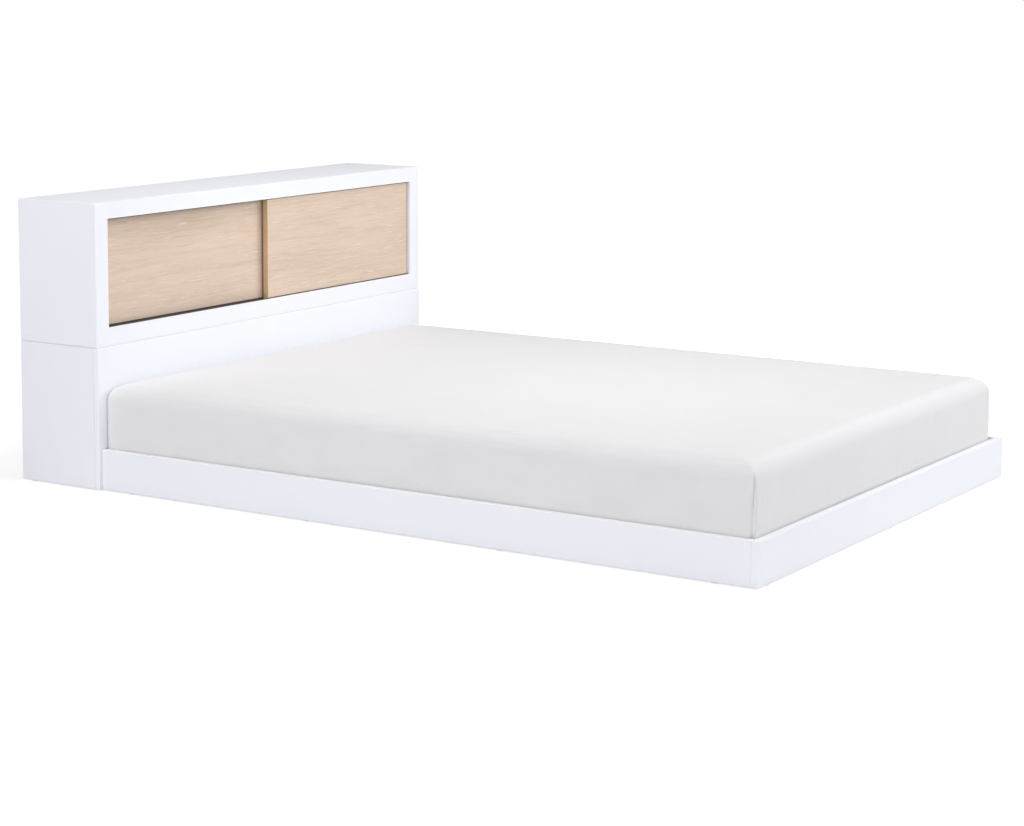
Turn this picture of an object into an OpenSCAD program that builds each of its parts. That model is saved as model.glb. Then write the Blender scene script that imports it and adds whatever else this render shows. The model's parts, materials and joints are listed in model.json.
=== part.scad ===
// Bookcase bed: a low platform bed with a two-part headboard. The lower cabinet stands on the floor,
// and the hutch on top of it has a wide opening with two sliding doors, each in its own lane.
// X runs across the bed, Y from the foot to the headboard, Z up. The origin is on the floor,
// under the middle of the whole bed.

/* [Mattress] */
// Width of the mattress
mattress_w = 1528; // [1000:1:1950]
// Length of the mattress
mattress_l = 2032; // [1850:1:2150]
// Thickness of the mattress at its edges
mattress_t = 200; // [150:1:230]
// How much higher the middle of the mattress is than its edges
mattress_crown = 3; // [1:0.5:12]
// Radius of the mattress corners, seen from above
mattress_corner_r = 8; // [6:1:60]
// Radius along the upper edge of the mattress
mattress_top_r = 42; // [25:1:60]
// Radius along the lower edge of the mattress
mattress_bottom_r = 14; // [10:1:40]
// How far the mattress sides draw in between the corners
mattress_draw = 1.5; // [0:0.5:8]
// How far the middle of a mattress side swells past its upper and lower edges
mattress_swell = 1.5; // [0:0.5:6]
// How far the mattress lies off the middle of the bed, towards the right when positive
mattress_shift = -14; // [-15:1:15]
// Thickness of the fitted sheet's cloth
sheet_t = 1; // [0.6:0.1:2]
// Width of the sheet's hem that is turned under the mattress
sheet_hem = 70; // [30:1:150]

/* [Bed frame] */
// Space between the sheet and each side rail, with the mattress in the middle
side_gap = 16.2; // [15.2:0.5:40]
// Space between the sheet and the foot rail, and between it and the headboard
end_gap = 1.2; // [0.6:0.1:20]
// Thickness of the side rails and of the foot rail
rail_t = 20; // [18:1:40]
// Height of the rails' upper edge above the floor
rail_top = 118; // [105:1:220]
// How far the side rails stand back from the ends of the headboard
rail_inset = 11; // [0:1:60]
// How far the slats lie below the rails' upper edge
slat_drop = 20; // [5:1:30]
// Number of slats
slat_count = 13; // [8:1:16]
// Width of a slat
slat_w = 90; // [60:1:100]
// Thickness of a slat
slat_t = 18; // [12:1:24]
// Height of a ledge under the slats
ledge_h = 30; // [24:1:40]
// Width of a ledge under the slats
ledge_w = 25; // [20:1:50]
// Height of the centre beam
beam_h = 50; // [30:1:56]
// Width of the centre beam
beam_w = 40; // [30:1:80]
// Thickness of the glides between the bed and the floor
floor_glide_t = 3; // [2:0.5:8]

/* [Lower cabinet] */
// Height of the lower cabinet's side panels and front panel above the floor
base_top = 408; // [350:1:520]
// Thickness of the lower cabinet's front panel
front_t = 18; // [16:1:25]
// Thickness of the lower cabinet's side, top and bottom panels and of both dividers
panel_t = 18; // [16:1:25]
// How far the front panel stands in front of the hutch
front_proud = 3; // [0:0.5:20]
// Height of the shadow gap between the lower cabinet and the hutch
shadow_gap = 2; // [1:0.5:8]
// Height of the bottom panel's underside above the floor
base_bottom_z = 60; // [30:1:150]
// Thickness of both back panels
back_t = 9; // [6:1:16]
// How far the back panels stand in from the back of the bed
back_inset = 2; // [1.6:0.1:10]

/* [Hutch] */
// Depth of the hutch
hutch_d = 292; // [240:1:420]
// Height of the hutch
hutch_h = 410; // [300:1:600]
// Thickness of the hutch's side slabs
side_slab_t = 53; // [40:0.5:80]
// Thickness of the hutch's bottom slab
bottom_slab_t = 52; // [40:0.5:80]
// Thickness of the hutch's top slab
top_slab_t = 47.5; // [36:0.5:80]
// Depth of the step in the slabs that takes the back panel
back_step = 10; // [6:1:20]

/* [Sliding doors] */
// Thickness of a door
door_t = 20; // [16:0.5:25]
// How far the front door stands back from the front of the hutch
door_recess = 10; // [4:0.5:30]
// Space between the two doors
lane_gap = 5; // [3:0.5:12]
// How far the closed doors overlap in the middle
door_overlap = 12; // [6:1:60]
// Space between a closed door and the side of the opening
door_side_gap = 3; // [2:0.5:8]
// How far the lips of the tracks show past the slabs
track_lip = 3; // [1:0.5:6]
// Thickness of a track's base and outer lips
track_t = 1.6; // [1:0.1:3]
// Depth of the groove for the lower track
lower_groove = 4; // [2:0.5:8]
// Depth of the groove for the upper track
upper_groove = 8; // [6:0.5:14]

/* [Edges and fits] */
// Radius of the eased edges of the lacquered boards
edge_r = 2; // [0.5:0.5:4]
// Radius of the eased edges of the doors and slats
soft_edge_r = 1; // [0.5:0.5:3]
// Space between a door and the lips of its track
track_clear = 0.6; // [0.3:0.1:1.2]
// Space under the door glides, over the lower track
run_clear = 0.2; // [0.1:0.1:0.5]
// Space round a pin, dowel or screw in its hole, and round a glide in its pocket
hole_clear = 0.1; // [0.05:0.05:0.3]
// Space between two boards that are let into each other
board_clear = 0.5; // [0.2:0.1:1]
// Space between the cloth and what it lies on
cloth_clear = 0.3; // [0.2:0.1:1]

/* [Hidden] */
$fn = 32;
slat_names = [for (i = [1:slat_count]) str("slat_", i)];

// Sizes across the bed
cloth = cloth_clear + sheet_t;
bay_w = mattress_w + 2 * (cloth + side_gap);
bay_x = bay_w / 2;
frame_x = bay_x + rail_t;
bed_x = frame_x + rail_inset;
base_in_x = bed_x - panel_t;
opening_x = bed_x - side_slab_t;
divider_x = panel_t / 2;

// Places along the bed, from the foot to the back of the headboard
bay_l = mattress_l + 2 * (cloth + end_gap);
bed_l = rail_t + bay_l + front_proud + hutch_d;
foot_y = -bed_l / 2;
bay_y0 = foot_y + rail_t;
bay_y1 = bay_y0 + bay_l;
base_in_y = bay_y1 + front_t;
hutch_y = bay_y1 + front_proud;
back_y = hutch_y + hutch_d;
back_panel_y = back_y - back_inset - back_t;

// Heights
hutch_z = base_top + shadow_gap;
floor_z = hutch_z + bottom_slab_t;
hutch_top_z = hutch_z + hutch_h;
ceiling_z = hutch_top_z - top_slab_t;
slat_top_z = rail_top - slat_drop;
slat_z = slat_top_z - slat_t;
beam_z = slat_z - beam_h;
mattress_z = slat_top_z + cloth_clear + cloth;

// Door lanes and tracks, measured back from the front of the hutch
front_lane_y = hutch_y + door_recess;
rear_lane_y = front_lane_y + door_t + lane_gap;
track_y0 = front_lane_y - track_clear - track_t;
track_y1 = rear_lane_y + door_t + track_clear + track_t;
run_z = floor_z - lower_groove + track_t;
// How far the glides stand out under a door
glide_stand = 1;
// Room over a door, so that it can be lifted off its track
lift_room = 5;
door_z0 = run_z + run_clear + glide_stand;
door_z1 = ceiling_z + upper_groove - track_t - lift_room;
door_w = opening_x - door_side_gap + door_overlap / 2;
front_door_x1 = opening_x - door_side_gap;
rear_door_x0 = -opening_x + door_side_gap;
// Travel of each door, from closed to the other side of the opening
door_travel = 2 * (opening_x - door_side_gap) - door_w;
echo(door_travel = door_travel);

// Fasteners and fittings
dowel_r = 4;
dowel_l = 34;
dowel_short = 12;
dowel_end = 40;
front_dowel_end = 80;
back_screw_r = 1.5;
back_screw_head_r = 3.5;
back_screw_head_h = 1.5;
back_screw_grip = 16;
back_screw_end = 80;
bolt_r = 3;
bolt_head_r = 7;
bolt_head_h = 3;
bolt_tip_gap = 4;
bolt_end = 120;
bolt_inset = 45;
nut_r = 4.5;
nut_flange_r = 8;
nut_flange_h = 1.5;
nut_l = 14;
screw_r = 2;
screw_head_r = 4;
screw_head_h = 2;
// Wood left past the tip of a screw
tip_wall = 6;
slat_screw_head_h = 3;
slat_screw_grip = 20;
angle_leg = 40;
angle_t = 3;
angle_h = 50;
angle_drop = 5;
angle_screw_d = 27;
angle_room = 50;
hanger_t = 2;
hanger_l = 30;
hanger_ear = 20;
hanger_plate_drop = 8;
hanger_cradle_drop = 20;
foot_pad_r = 20;
foot_pad_h = 6;
foot_stem_r = 5;
foot_stem_wall = 5;
foot_stem_gap = 2;
foot_nut_r = 8.5;
foot_nut_h = 6;
floor_glide_r = 8;
rail_glide_end = 100;
cross_glide_end = 60;
back_glide_end = 40;
door_glide = [30, 8, 10];
door_glide_end = 60;
buffer_r = 5;
buffer_gap = 0.4;
slat_end_gap = 2;

// Where the fasteners sit
panel_mid_z = [base_bottom_z + panel_t / 2, hutch_z - panel_t / 2];
side_dowel_y = [base_in_y + dowel_end, (base_in_y + back_panel_y) / 2, back_panel_y - dowel_end];
front_dowel_z = [front_dowel_end, (base_top + floor_glide_t) / 2, base_top - front_dowel_end];
front_dowel_x = [for (k = [-3:2:3]) k * bed_x / 4];
divider_dowel_y = [base_in_y + dowel_end, back_panel_y - dowel_end];
hutch_divider_y = track_y1 + board_clear;
hutch_dowel_y = [hutch_divider_y + dowel_end, back_panel_y - dowel_end];
hutch_screw_x = [for (k = [-2:2]) k / 2 * (opening_x - back_screw_end)];
base_screw_x = [for (k = [-2:2]) k / 2 * (base_in_x - back_screw_end)];
bolt_x = [for (side = [-1, 1]) side * (opening_x - bolt_end)];
bolt_y = [track_y1 + bolt_inset, back_panel_y - bolt_inset];
angle_z = slat_z - angle_drop - angle_h;
angle_screw_z = [angle_z + angle_h / 4, angle_z + angle_h * 3 / 4];
hanger_screw_x = beam_w / 2 + hanger_t + hanger_ear / 2;
ledge_y0 = bay_y0 + angle_room;
ledge_y1 = bay_y1 - angle_room;
slat_pitch = (ledge_y1 - ledge_y0 - 2 * board_clear - slat_w) / (slat_count - 1);
slat_screw_x = [-bay_x + ledge_w / 2, 0, bay_x - ledge_w / 2];
// The screws of the ledges sit halfway between two slats, clear of the slats' own screws
ledge_screw_gaps = [for (k = [0:4]) 1.5 + round(k * (slat_count - 2) / 4)];
foot_places = [for (k = [-1:1]) (bay_y0 + bay_y1) / 2 + k * bay_l / 4];
foot_bore_z = slat_z - slat_screw_grip - foot_stem_wall;

function slat_y(i) = ledge_y0 + board_clear + slat_w / 2 + (i - 1) * slat_pitch;

// General shapes

// A plain board between its lowest and highest corner
module board(low, high) translate(low) cube(high - low);

// A rectangle from the origin, with round corners
module eased_rect(w, h, r) {
    translate([r, 0]) square([w - 2 * r, h]);
    translate([0, r]) square([w, h - 2 * r]);
    for (x = [r, w - r], y = [r, h - r]) translate([x, y]) circle(r);
}

// A board with all its edges rounded
module eased_board(low, high, r) {
    size = high - low;
    translate(low) intersection() {
        linear_extrude(size.z) eased_rect(size.x, size.y, r);
        translate([0, size.y, 0]) rotate([90, 0, 0]) linear_extrude(size.y) eased_rect(size.x, size.z, r);
        rotate([90, 0, 90]) linear_extrude(size.x) eased_rect(size.y, size.z, r);
    }
}

// A strip that runs along X, with its four long edges rounded
module eased_strip(low, high, r) {
    size = high - low;
    translate(low) rotate([90, 0, 90]) linear_extrude(size.x) eased_rect(size.y, size.z, r);
}

// Round bars along each axis, from a point in the positive direction
module bar_x(from, l, r) translate(from) rotate([0, 90, 0]) cylinder(h = l, r = r);
module bar_y(from, l, r) translate(from) rotate([-90, 0, 0]) cylinder(h = l, r = r);
module bar_z(from, l, r) translate(from) cylinder(h = l, r = r);

// Dowels

// Dowels of the lower cabinet, or with grow above 0 the holes for them
module base_dowel_set(grow) {
    r = dowel_r + grow;
    l = dowel_l + 2 * grow;
    for (side = [-1, 1], y = side_dowel_y, z = panel_mid_z) {
        x = side > 0 ? base_in_x + dowel_short - dowel_l : -base_in_x - dowel_short;
        bar_x([x - grow, y, z], l, r);
    }
    for (side = [-1, 1], z = front_dowel_z)
        bar_y([side * (bed_x - panel_t / 2), base_in_y - dowel_short - grow, z], l, r);
    for (x = front_dowel_x, z = panel_mid_z)
        bar_y([x, base_in_y - dowel_short - grow, z], l, r);
    for (y = divider_dowel_y) {
        bar_z([0, y, base_bottom_z + panel_t - dowel_short - grow], l, r);
        bar_z([0, y, hutch_z - panel_t + dowel_short - dowel_l - grow], l, r);
    }
}

// Dowels of the hutch divider, or with grow above 0 the holes for them
module hutch_dowel_set(grow) {
    r = dowel_r + grow;
    l = dowel_l + 2 * grow;
    for (y = hutch_dowel_y) {
        bar_z([0, y, floor_z - dowel_l / 2 - grow], l, r);
        bar_z([0, y, ceiling_z - dowel_l / 2 - grow], l, r);
    }
}

// Screws and bolts

// One pan head screw that is driven along -Y, with the underside of its head at the place
module back_screw(x, z, grow) {
    head_y = back_y - back_inset;
    bar_y([x, head_y - back_t - back_screw_grip - grow, z], back_t + back_screw_grip + grow, back_screw_r + grow);
    if (grow == 0) bar_y([x, head_y, z], back_screw_head_h, back_screw_head_r);
}

module back_screw_set(grow) {
    shoulder = back_step / 2;
    for (x = hutch_screw_x, z = [floor_z - shoulder, ceiling_z + shoulder]) back_screw(x, z, grow);
    for (side = [-1, 1]) back_screw(side * (opening_x + shoulder), (floor_z + ceiling_z) / 2, grow);
    for (x = base_screw_x, z = [base_bottom_z + panel_t / 2, hutch_z - panel_t / 2]) back_screw(x, z, grow);
}

// Bolts from the floor of the hutch into sleeve nuts under the lower cabinet's top panel
module hutch_bolt_set(grow) {
    reach = bottom_slab_t + panel_t - bolt_tip_gap;
    for (x = bolt_x, y = bolt_y) {
        bar_z([x, y, floor_z - reach - grow], reach + grow, bolt_r + grow);
        if (grow == 0) bar_z([x, y, floor_z], bolt_head_h, bolt_head_r);
    }
}

module nut_set(grow) {
    under_z = hutch_z - panel_t;
    for (x = bolt_x, y = bolt_y) {
        bar_z([x, y, under_z - grow], nut_l + 2 * grow, nut_r + grow);
        if (grow == 0) bar_z([x, y, under_z - nut_flange_h], nut_flange_h, nut_flange_r);
    }
}

// Screws through a ledge into a side rail. side is -1 on the left and 1 on the right
module ledge_screw_set(grow) {
    z = slat_z - ledge_h / 2;
    l = ledge_w + rail_t - tip_wall + grow;
    for (side = [-1, 1], gap = ledge_screw_gaps) {
        y = slat_y(gap);
        x0 = side * (bay_x - ledge_w);
        bar_x([side > 0 ? x0 : x0 - l, y, z], l, screw_r + grow);
        if (grow == 0) bar_x([side > 0 ? x0 - screw_head_h : x0, y, z], screw_head_h, screw_head_r);
    }
}

// Countersunk screws through the slats into the ledges and the centre beam
module slat_screw_set(grow) {
    for (i = [1:slat_count], x = slat_screw_x) slat_screw(x, slat_y(i), grow);
}

module slat_screw(x, y, grow) {
    l = slat_t + slat_screw_grip;
    bar_z([x, y, slat_top_z - l - grow], l - slat_screw_head_h + grow, screw_r + grow);
    translate([x, y, slat_top_z - slat_screw_head_h])
        cylinder(h = slat_screw_head_h, r1 = screw_r + grow, r2 = screw_head_r + grow);
}

// One screw along Y through a fitting at one end of the bay. end is -1 at the foot and 1 at the headboard
module end_screw(x, z, end, grow) {
    face_y = end > 0 ? bay_y1 - angle_t : bay_y0 + angle_t;
    l = angle_t + (end > 0 ? front_t : rail_t) - tip_wall + grow;
    bar_y([x, end > 0 ? face_y : face_y - l, z], l, screw_r + grow);
    if (grow == 0) bar_y([x, end > 0 ? face_y - screw_head_h : face_y, z], screw_head_h, screw_head_r);
}

// Screws of the corner brackets: two in each leg, into the rail or the headboard behind it
module angle_screw_set(grow) {
    l = angle_t + rail_t - tip_wall + grow;
    for (side = [-1, 1], end = [-1, 1], z = angle_screw_z) {
        x0 = side * (bay_x - angle_t);
        y = end > 0 ? bay_y1 - angle_screw_d : bay_y0 + angle_screw_d;
        bar_x([side > 0 ? x0 : x0 - l, y, z], l, screw_r + grow);
        if (grow == 0) bar_x([side > 0 ? x0 - screw_head_h : x0, y, z], screw_head_h, screw_head_r);
        end_screw(side * (bay_x - angle_screw_d), z, end, grow);
    }
}

// Screws of the beam's hangers, one in each ear
module hanger_screw_set(grow) {
    for (side = [-1, 1], end = [-1, 1]) end_screw(side * hanger_screw_x, beam_z + beam_h / 2, end, grow);
}

// Hutch

// The ring of four slabs as one outer block, less the opening, the back step and the track grooves
module hutch_ring() {
    difference() {
        eased_board([-bed_x, hutch_y, hutch_z], [bed_x, back_y, hutch_top_z], edge_r);
        board([-opening_x, hutch_y - 1, floor_z], [opening_x, back_y + 1, ceiling_z]);
        board(
            [-opening_x - back_step, back_panel_y, floor_z - back_step],
            [opening_x + back_step, back_y + 1, ceiling_z + back_step]
        );
        back_screw_set(hole_clear);
    }
}

// A wedge along Y from the outer corners of the hutch to the corners of its opening, for one slab
module mitre(points) {
    translate([0, back_y + 1, 0]) rotate([90, 0, 0]) linear_extrude(hutch_d + 2) polygon(points);
}

module side_slab(side) {
    intersection() {
        hutch_ring();
        mitre([
            [side * bed_x, hutch_z], [side * bed_x, hutch_top_z],
            [side * opening_x, ceiling_z], [side * opening_x, floor_z]
        ]);
    }
}

module hutch_top() {
    color("white") difference() {
        intersection() {
            hutch_ring();
            mitre([
                [-bed_x, hutch_top_z], [-opening_x, ceiling_z],
                [opening_x, ceiling_z], [bed_x, hutch_top_z]
            ]);
        }
        board(
            [-opening_x, track_y0 - board_clear / 2, ceiling_z - 1],
            [opening_x, track_y1 + board_clear / 2, ceiling_z + upper_groove]
        );
        hutch_dowel_set(hole_clear);
    }
}

module hutch_bottom() {
    color("white") difference() {
        intersection() {
            hutch_ring();
            mitre([
                [-bed_x, hutch_z], [bed_x, hutch_z],
                [opening_x, floor_z], [-opening_x, floor_z]
            ]);
        }
        board(
            [-opening_x, track_y0 - board_clear / 2, floor_z - lower_groove],
            [opening_x, track_y1 + board_clear / 2, floor_z + 1]
        );
        hutch_dowel_set(hole_clear);
        hutch_bolt_set(hole_clear);
    }
}

module hutch_side_left() color("white") side_slab(-1);
module hutch_side_right() color("white") side_slab(1);

module hutch_divider() {
    color("white") difference() {
        board([-divider_x, hutch_divider_y, floor_z], [divider_x, back_panel_y, ceiling_z]);
        hutch_dowel_set(hole_clear);
    }
}

module hutch_back_panel() {
    reach = back_step - board_clear;
    color("whitesmoke") difference() {
        board(
            [-opening_x - reach, back_panel_y, floor_z - reach],
            [opening_x + reach, back_y - back_inset, ceiling_z + reach]
        );
        back_screw_set(hole_clear);
    }
}

// A track with two lanes: a base and three lips. lip_z is where the lips end
module track(base_z, lip_z) {
    x = opening_x - board_clear;
    low_z = min(base_z, lip_z);
    high_z = max(base_z + track_t, lip_z);
    mid_y0 = front_lane_y + door_t + track_clear;
    mid_y1 = rear_lane_y - track_clear;
    board([-x, track_y0, base_z], [x, track_y1, base_z + track_t]);
    board([-x, track_y0, low_z], [x, track_y0 + track_t, high_z]);
    board([-x, mid_y0, low_z], [x, mid_y1, high_z]);
    board([-x, track_y1 - track_t, low_z], [x, track_y1, high_z]);
}

module lower_track() color("#4a403c") track(floor_z - lower_groove, floor_z + track_lip);

module upper_track() color("#4a403c") track(ceiling_z + upper_groove - track_t, ceiling_z - track_lip);

// A door whose left edge and front face are at the given place, with pockets for its glides
module door(x, y) {
    color("#e2cab6") difference() {
        eased_board([x, y, door_z0], [x + door_w, y + door_t, door_z1], soft_edge_r);
        door_glide_pair(x, y, hole_clear);
    }
}

module door_glide_pair(x, y, grow) {
    z = door_z0 - glide_stand;
    for (at = [x + door_glide_end, x + door_w - door_glide_end - door_glide.x])
        board(
            [at - grow, y + (door_t - door_glide.y) / 2 - grow, z],
            [at + door_glide.x + grow, y + (door_t + door_glide.y) / 2 + grow, z + door_glide.z + grow]
        );
}

module front_door() door(front_door_x1 - door_w, front_lane_y);
module rear_door() door(rear_door_x0, rear_lane_y);
module front_door_glides() color("ivory") door_glide_pair(front_door_x1 - door_w, front_lane_y, 0);
module rear_door_glides() color("ivory") door_glide_pair(rear_door_x0, rear_lane_y, 0);

// Rubber buffers on the sides of the opening, one at each end of both lanes
module door_buffers() {
    l = door_side_gap - buffer_gap;
    z = (floor_z + ceiling_z) / 2;
    color("dimgray")
        for (y = [front_lane_y + door_t / 2, rear_lane_y + door_t / 2], x = [-opening_x, opening_x - l])
            bar_x([x, y, z], l, buffer_r);
}

module hutch_bolts() color("silver") hutch_bolt_set(0);

module hutch_bolt_nuts() {
    color("silver") difference() {
        nut_set(0);
        hutch_bolt_set(hole_clear / 2);
    }
}

module hutch_dowels() color("burlywood") hutch_dowel_set(0);

// Lower cabinet

module base_front_panel() {
    color("white") difference() {
        eased_board([-bed_x, bay_y1, floor_glide_t], [bed_x, base_in_y, base_top], edge_r);
        base_dowel_set(hole_clear);
        angle_screw_set(hole_clear);
        hanger_screw_set(hole_clear);
    }
}

module base_side(side) {
    low_x = side > 0 ? base_in_x : -bed_x;
    color("white") difference() {
        eased_board([low_x, base_in_y, floor_glide_t], [low_x + panel_t, back_y, base_top], edge_r);
        base_dowel_set(hole_clear);
    }
}

module base_side_left() base_side(-1);
module base_side_right() base_side(1);

// A panel across the lower cabinet, between the sides, whose underside is at z
module cross_panel(z) {
    difference() {
        board([-base_in_x, base_in_y, z], [base_in_x, back_panel_y, z + panel_t]);
        base_dowel_set(hole_clear);
        back_screw_set(hole_clear);
    }
}

module base_top_panel() {
    color("white") difference() {
        cross_panel(hutch_z - panel_t);
        hutch_bolt_set(hole_clear);
        nut_set(hole_clear);
    }
}

module base_bottom_panel() color("white") cross_panel(base_bottom_z);

module base_divider() {
    color("white") difference() {
        board(
            [-divider_x, base_in_y, base_bottom_z + panel_t],
            [divider_x, back_panel_y, hutch_z - panel_t]
        );
        base_dowel_set(hole_clear);
    }
}

module base_back_panel() {
    color("whitesmoke") difference() {
        board(
            [-base_in_x + board_clear, back_panel_y, base_bottom_z],
            [base_in_x - board_clear, back_y - back_inset, base_top]
        );
        back_screw_set(hole_clear);
    }
}

module base_dowels() color("burlywood") base_dowel_set(0);
module back_panel_screws() color("silver") back_screw_set(0);

// Bed frame

module side_rail(side) {
    low_x = side > 0 ? bay_x : -frame_x;
    color("white") difference() {
        eased_board([low_x, bay_y0, floor_glide_t], [low_x + rail_t, bay_y1, rail_top], edge_r);
        ledge_screw_set(hole_clear);
        angle_screw_set(hole_clear);
    }
}

module side_rail_left() side_rail(-1);
module side_rail_right() side_rail(1);

module foot_rail() {
    color("white") difference() {
        eased_board([-frame_x, foot_y, floor_glide_t], [frame_x, bay_y0, rail_top], edge_r);
        angle_screw_set(hole_clear);
        hanger_screw_set(hole_clear);
    }
}

module ledge(side) {
    low_x = side > 0 ? bay_x - ledge_w : -bay_x;
    color("burlywood") difference() {
        board([low_x, ledge_y0, slat_z - ledge_h], [low_x + ledge_w, ledge_y1, slat_z]);
        ledge_screw_set(hole_clear);
        slat_screw_set(hole_clear);
    }
}

module ledge_left() ledge(-1);
module ledge_right() ledge(1);
module ledge_screws() color("silver") ledge_screw_set(0);

module centre_beam() {
    end = angle_t + board_clear;
    color("burlywood") difference() {
        board([-beam_w / 2, bay_y0 + end, beam_z], [beam_w / 2, bay_y1 - end, slat_z]);
        slat_screw_set(hole_clear);
        for (y = foot_places) bar_z([0, y, beam_z - 1], foot_bore_z - beam_z + 1, foot_stem_r + hole_clear);
    }
}

// Steel hangers that hold the ends of the centre beam. Each is a back plate with a cradle in front
module beam_brackets() {
    inner_x = beam_w / 2 + board_clear / 2;
    outer_x = inner_x + hanger_t;
    cradle_z = beam_z - board_clear / 2;
    color("silver") difference() {
        for (end = [-1, 1]) {
            wall_y = end > 0 ? bay_y1 : bay_y0;
            plate_y = wall_y - end * angle_t;
            lip_y = wall_y - end * (angle_t + hanger_l);
            board(
                [-outer_x - hanger_ear, min(wall_y, plate_y), cradle_z - hanger_t],
                [outer_x + hanger_ear, max(wall_y, plate_y), slat_z - hanger_plate_drop]
            );
            difference() {
                board(
                    [-outer_x, min(wall_y, lip_y), cradle_z - hanger_t],
                    [outer_x, max(wall_y, lip_y), slat_z - hanger_cradle_drop]
                );
                board(
                    [-inner_x, min(plate_y, lip_y - end), cradle_z],
                    [inner_x, max(plate_y, lip_y - end), slat_z]
                );
            }
        }
        hanger_screw_set(hole_clear);
    }
}

// Adjustable feet: a pad on the floor, a threaded stem in the beam and a nut under the beam
module centre_feet() {
    color("dimgray") for (y = foot_places) {
        bar_z([0, y, 0], foot_pad_h, foot_pad_r);
        bar_z([0, y, foot_pad_h], foot_bore_z - foot_stem_gap - foot_pad_h, foot_stem_r);
        translate([0, y, beam_z - foot_nut_h]) cylinder(h = foot_nut_h, r = foot_nut_r, $fn = 6);
    }
}

// Steel angles in the four corners of the bay
module corner_brackets() {
    color("silver") difference() {
        for (side = [-1, 1], end = [-1, 1]) {
            wall_y = end > 0 ? bay_y1 : bay_y0;
            x = side * bay_x;
            board(
                [min(x, x - side * angle_t), min(wall_y, wall_y - end * angle_leg), angle_z],
                [max(x, x - side * angle_t), max(wall_y, wall_y - end * angle_leg), angle_z + angle_h]
            );
            board(
                [min(x, x - side * angle_leg), min(wall_y, wall_y - end * angle_t), angle_z],
                [max(x, x - side * angle_leg), max(wall_y, wall_y - end * angle_t), angle_z + angle_h]
            );
        }
        angle_screw_set(hole_clear);
    }
}

module bracket_screws() {
    color("silver") {
        angle_screw_set(0);
        hanger_screw_set(0);
    }
}

module slat(i) {
    color("wheat") difference() {
        eased_strip(
            [-bay_x + slat_end_gap, slat_y(i) - slat_w / 2, slat_z],
            [bay_x - slat_end_gap, slat_y(i) + slat_w / 2, slat_top_z],
            soft_edge_r
        );
        for (x = slat_screw_x) slat_screw(x, slat_y(i), hole_clear);
    }
}

module slat_screws() color("silver") slat_screw_set(0);

// Glides under the rails, the front panel and the lower cabinet's sides
module floor_glides() {
    rail_places = [for (k = [0:3]) bay_y0 + rail_glide_end + k * (bay_l - 2 * rail_glide_end) / 3];
    color("ivory") {
        for (side = [-1, 1], y = rail_places) floor_glide(side * (bay_x + rail_t / 2), y);
        for (k = [-1:1]) {
            floor_glide(k * (frame_x - cross_glide_end), foot_y + rail_t / 2);
            floor_glide(k * (bed_x - cross_glide_end), bay_y1 + front_t / 2);
        }
        for (side = [-1, 1]) floor_glide(side * (bed_x - panel_t / 2), back_y - back_glide_end);
    }
}

module floor_glide(x, y) bar_z([x, y, 0], floor_glide_t, floor_glide_r);

// Mattress and sheet. Both are stacks of rings from one profile, so the sheet follows the mattress

corner_steps = 4;
side_steps = 4;
ring_n = 4 * (corner_steps + side_steps);
corner_r_min = 6;
corner_signs = [[1, 1], [-1, 1], [-1, -1], [1, -1]];

// The corner that a ring turns on its way from turn * 90 degrees to the next quarter
function corner_arc(a, b, r, turn) = [
    for (k = [0:corner_steps])
        let (angle = 90 * (turn + k / corner_steps), s = corner_signs[turn])
            [s.x * (a - r) + r * cos(angle), s.y * (b - r) + r * sin(angle)]
];

// The side after that corner, drawn in towards its middle
function side_run(from, to, turn) = [
    for (k = [1:side_steps - 1])
        let (t = k / side_steps, out = [cos(90 * turn + 90), sin(90 * turn + 90)])
            from + (to - from) * t - out * mattress_draw * 4 * t * (1 - t)
];

// The mattress corners are tight at mid height and round off towards the upper and lower edge
corner_widening = 3;

// A ring of the mattress's outline, taken in by inset, at height z, and shrunk to a share of itself
function ring(inset, z, share) =
    let (
        a = mattress_w / 2 - inset,
        b = mattress_l / 2 - inset,
        wide_r = mattress_corner_r + corner_widening * max(inset, 0),
        r = max(min(wide_r, mattress_top_r + mattress_swell - inset), corner_r_min),
        arcs = [for (turn = [0:3]) corner_arc(a, b, r, turn)]
    ) [
        for (turn = [0:3])
            for (p = concat(arcs[turn], side_run(arcs[turn][corner_steps], arcs[(turn + 1) % 4][0], turn)))
                [p.x * share, p.y * share, z]
    ];

// Inset and height of the profile from the lower edge to the upper one, moved out by grow
function profile(grow) = concat(
    [for (t = [0:30:90]) [
        mattress_bottom_r + mattress_swell - (mattress_bottom_r + grow) * sin(t),
        mattress_bottom_r - (mattress_bottom_r + grow) * cos(t)
    ]],
    [[-grow, mattress_t / 2]],
    [for (t = [0:22.5:90]) [
        mattress_top_r + mattress_swell - (mattress_top_r + grow) * cos(t),
        mattress_t - mattress_top_r + (mattress_top_r + grow) * sin(t)
    ]]
);

crown_shares = [0.82, 0.45];

// The rings of a closed skin that lies outside the mattress by grow, without its underside
function skin(grow) = concat(
    [for (p = profile(grow)) ring(p.x, p.y, 1)],
    [for (s = crown_shares) ring(mattress_top_r + mattress_swell, mattress_t + grow + mattress_crown * (1 - s * s), s)]
);

function hem(grow) = ring(mattress_bottom_r + mattress_swell + sheet_hem, -grow, 1);
function top_point(grow) = [0, 0, mattress_t + grow + mattress_crown];

// Triangles between ring number k and the ring after it
function band(k, next) = [
    for (i = [0:ring_n - 1])
        let (j = (i + 1) % ring_n, a = k * ring_n, b = next * ring_n)
            each [[b + j, a + j, a + i], [b + i, b + j, a + i]]
];

function flat(list) = [for (part = list) each part];

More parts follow.
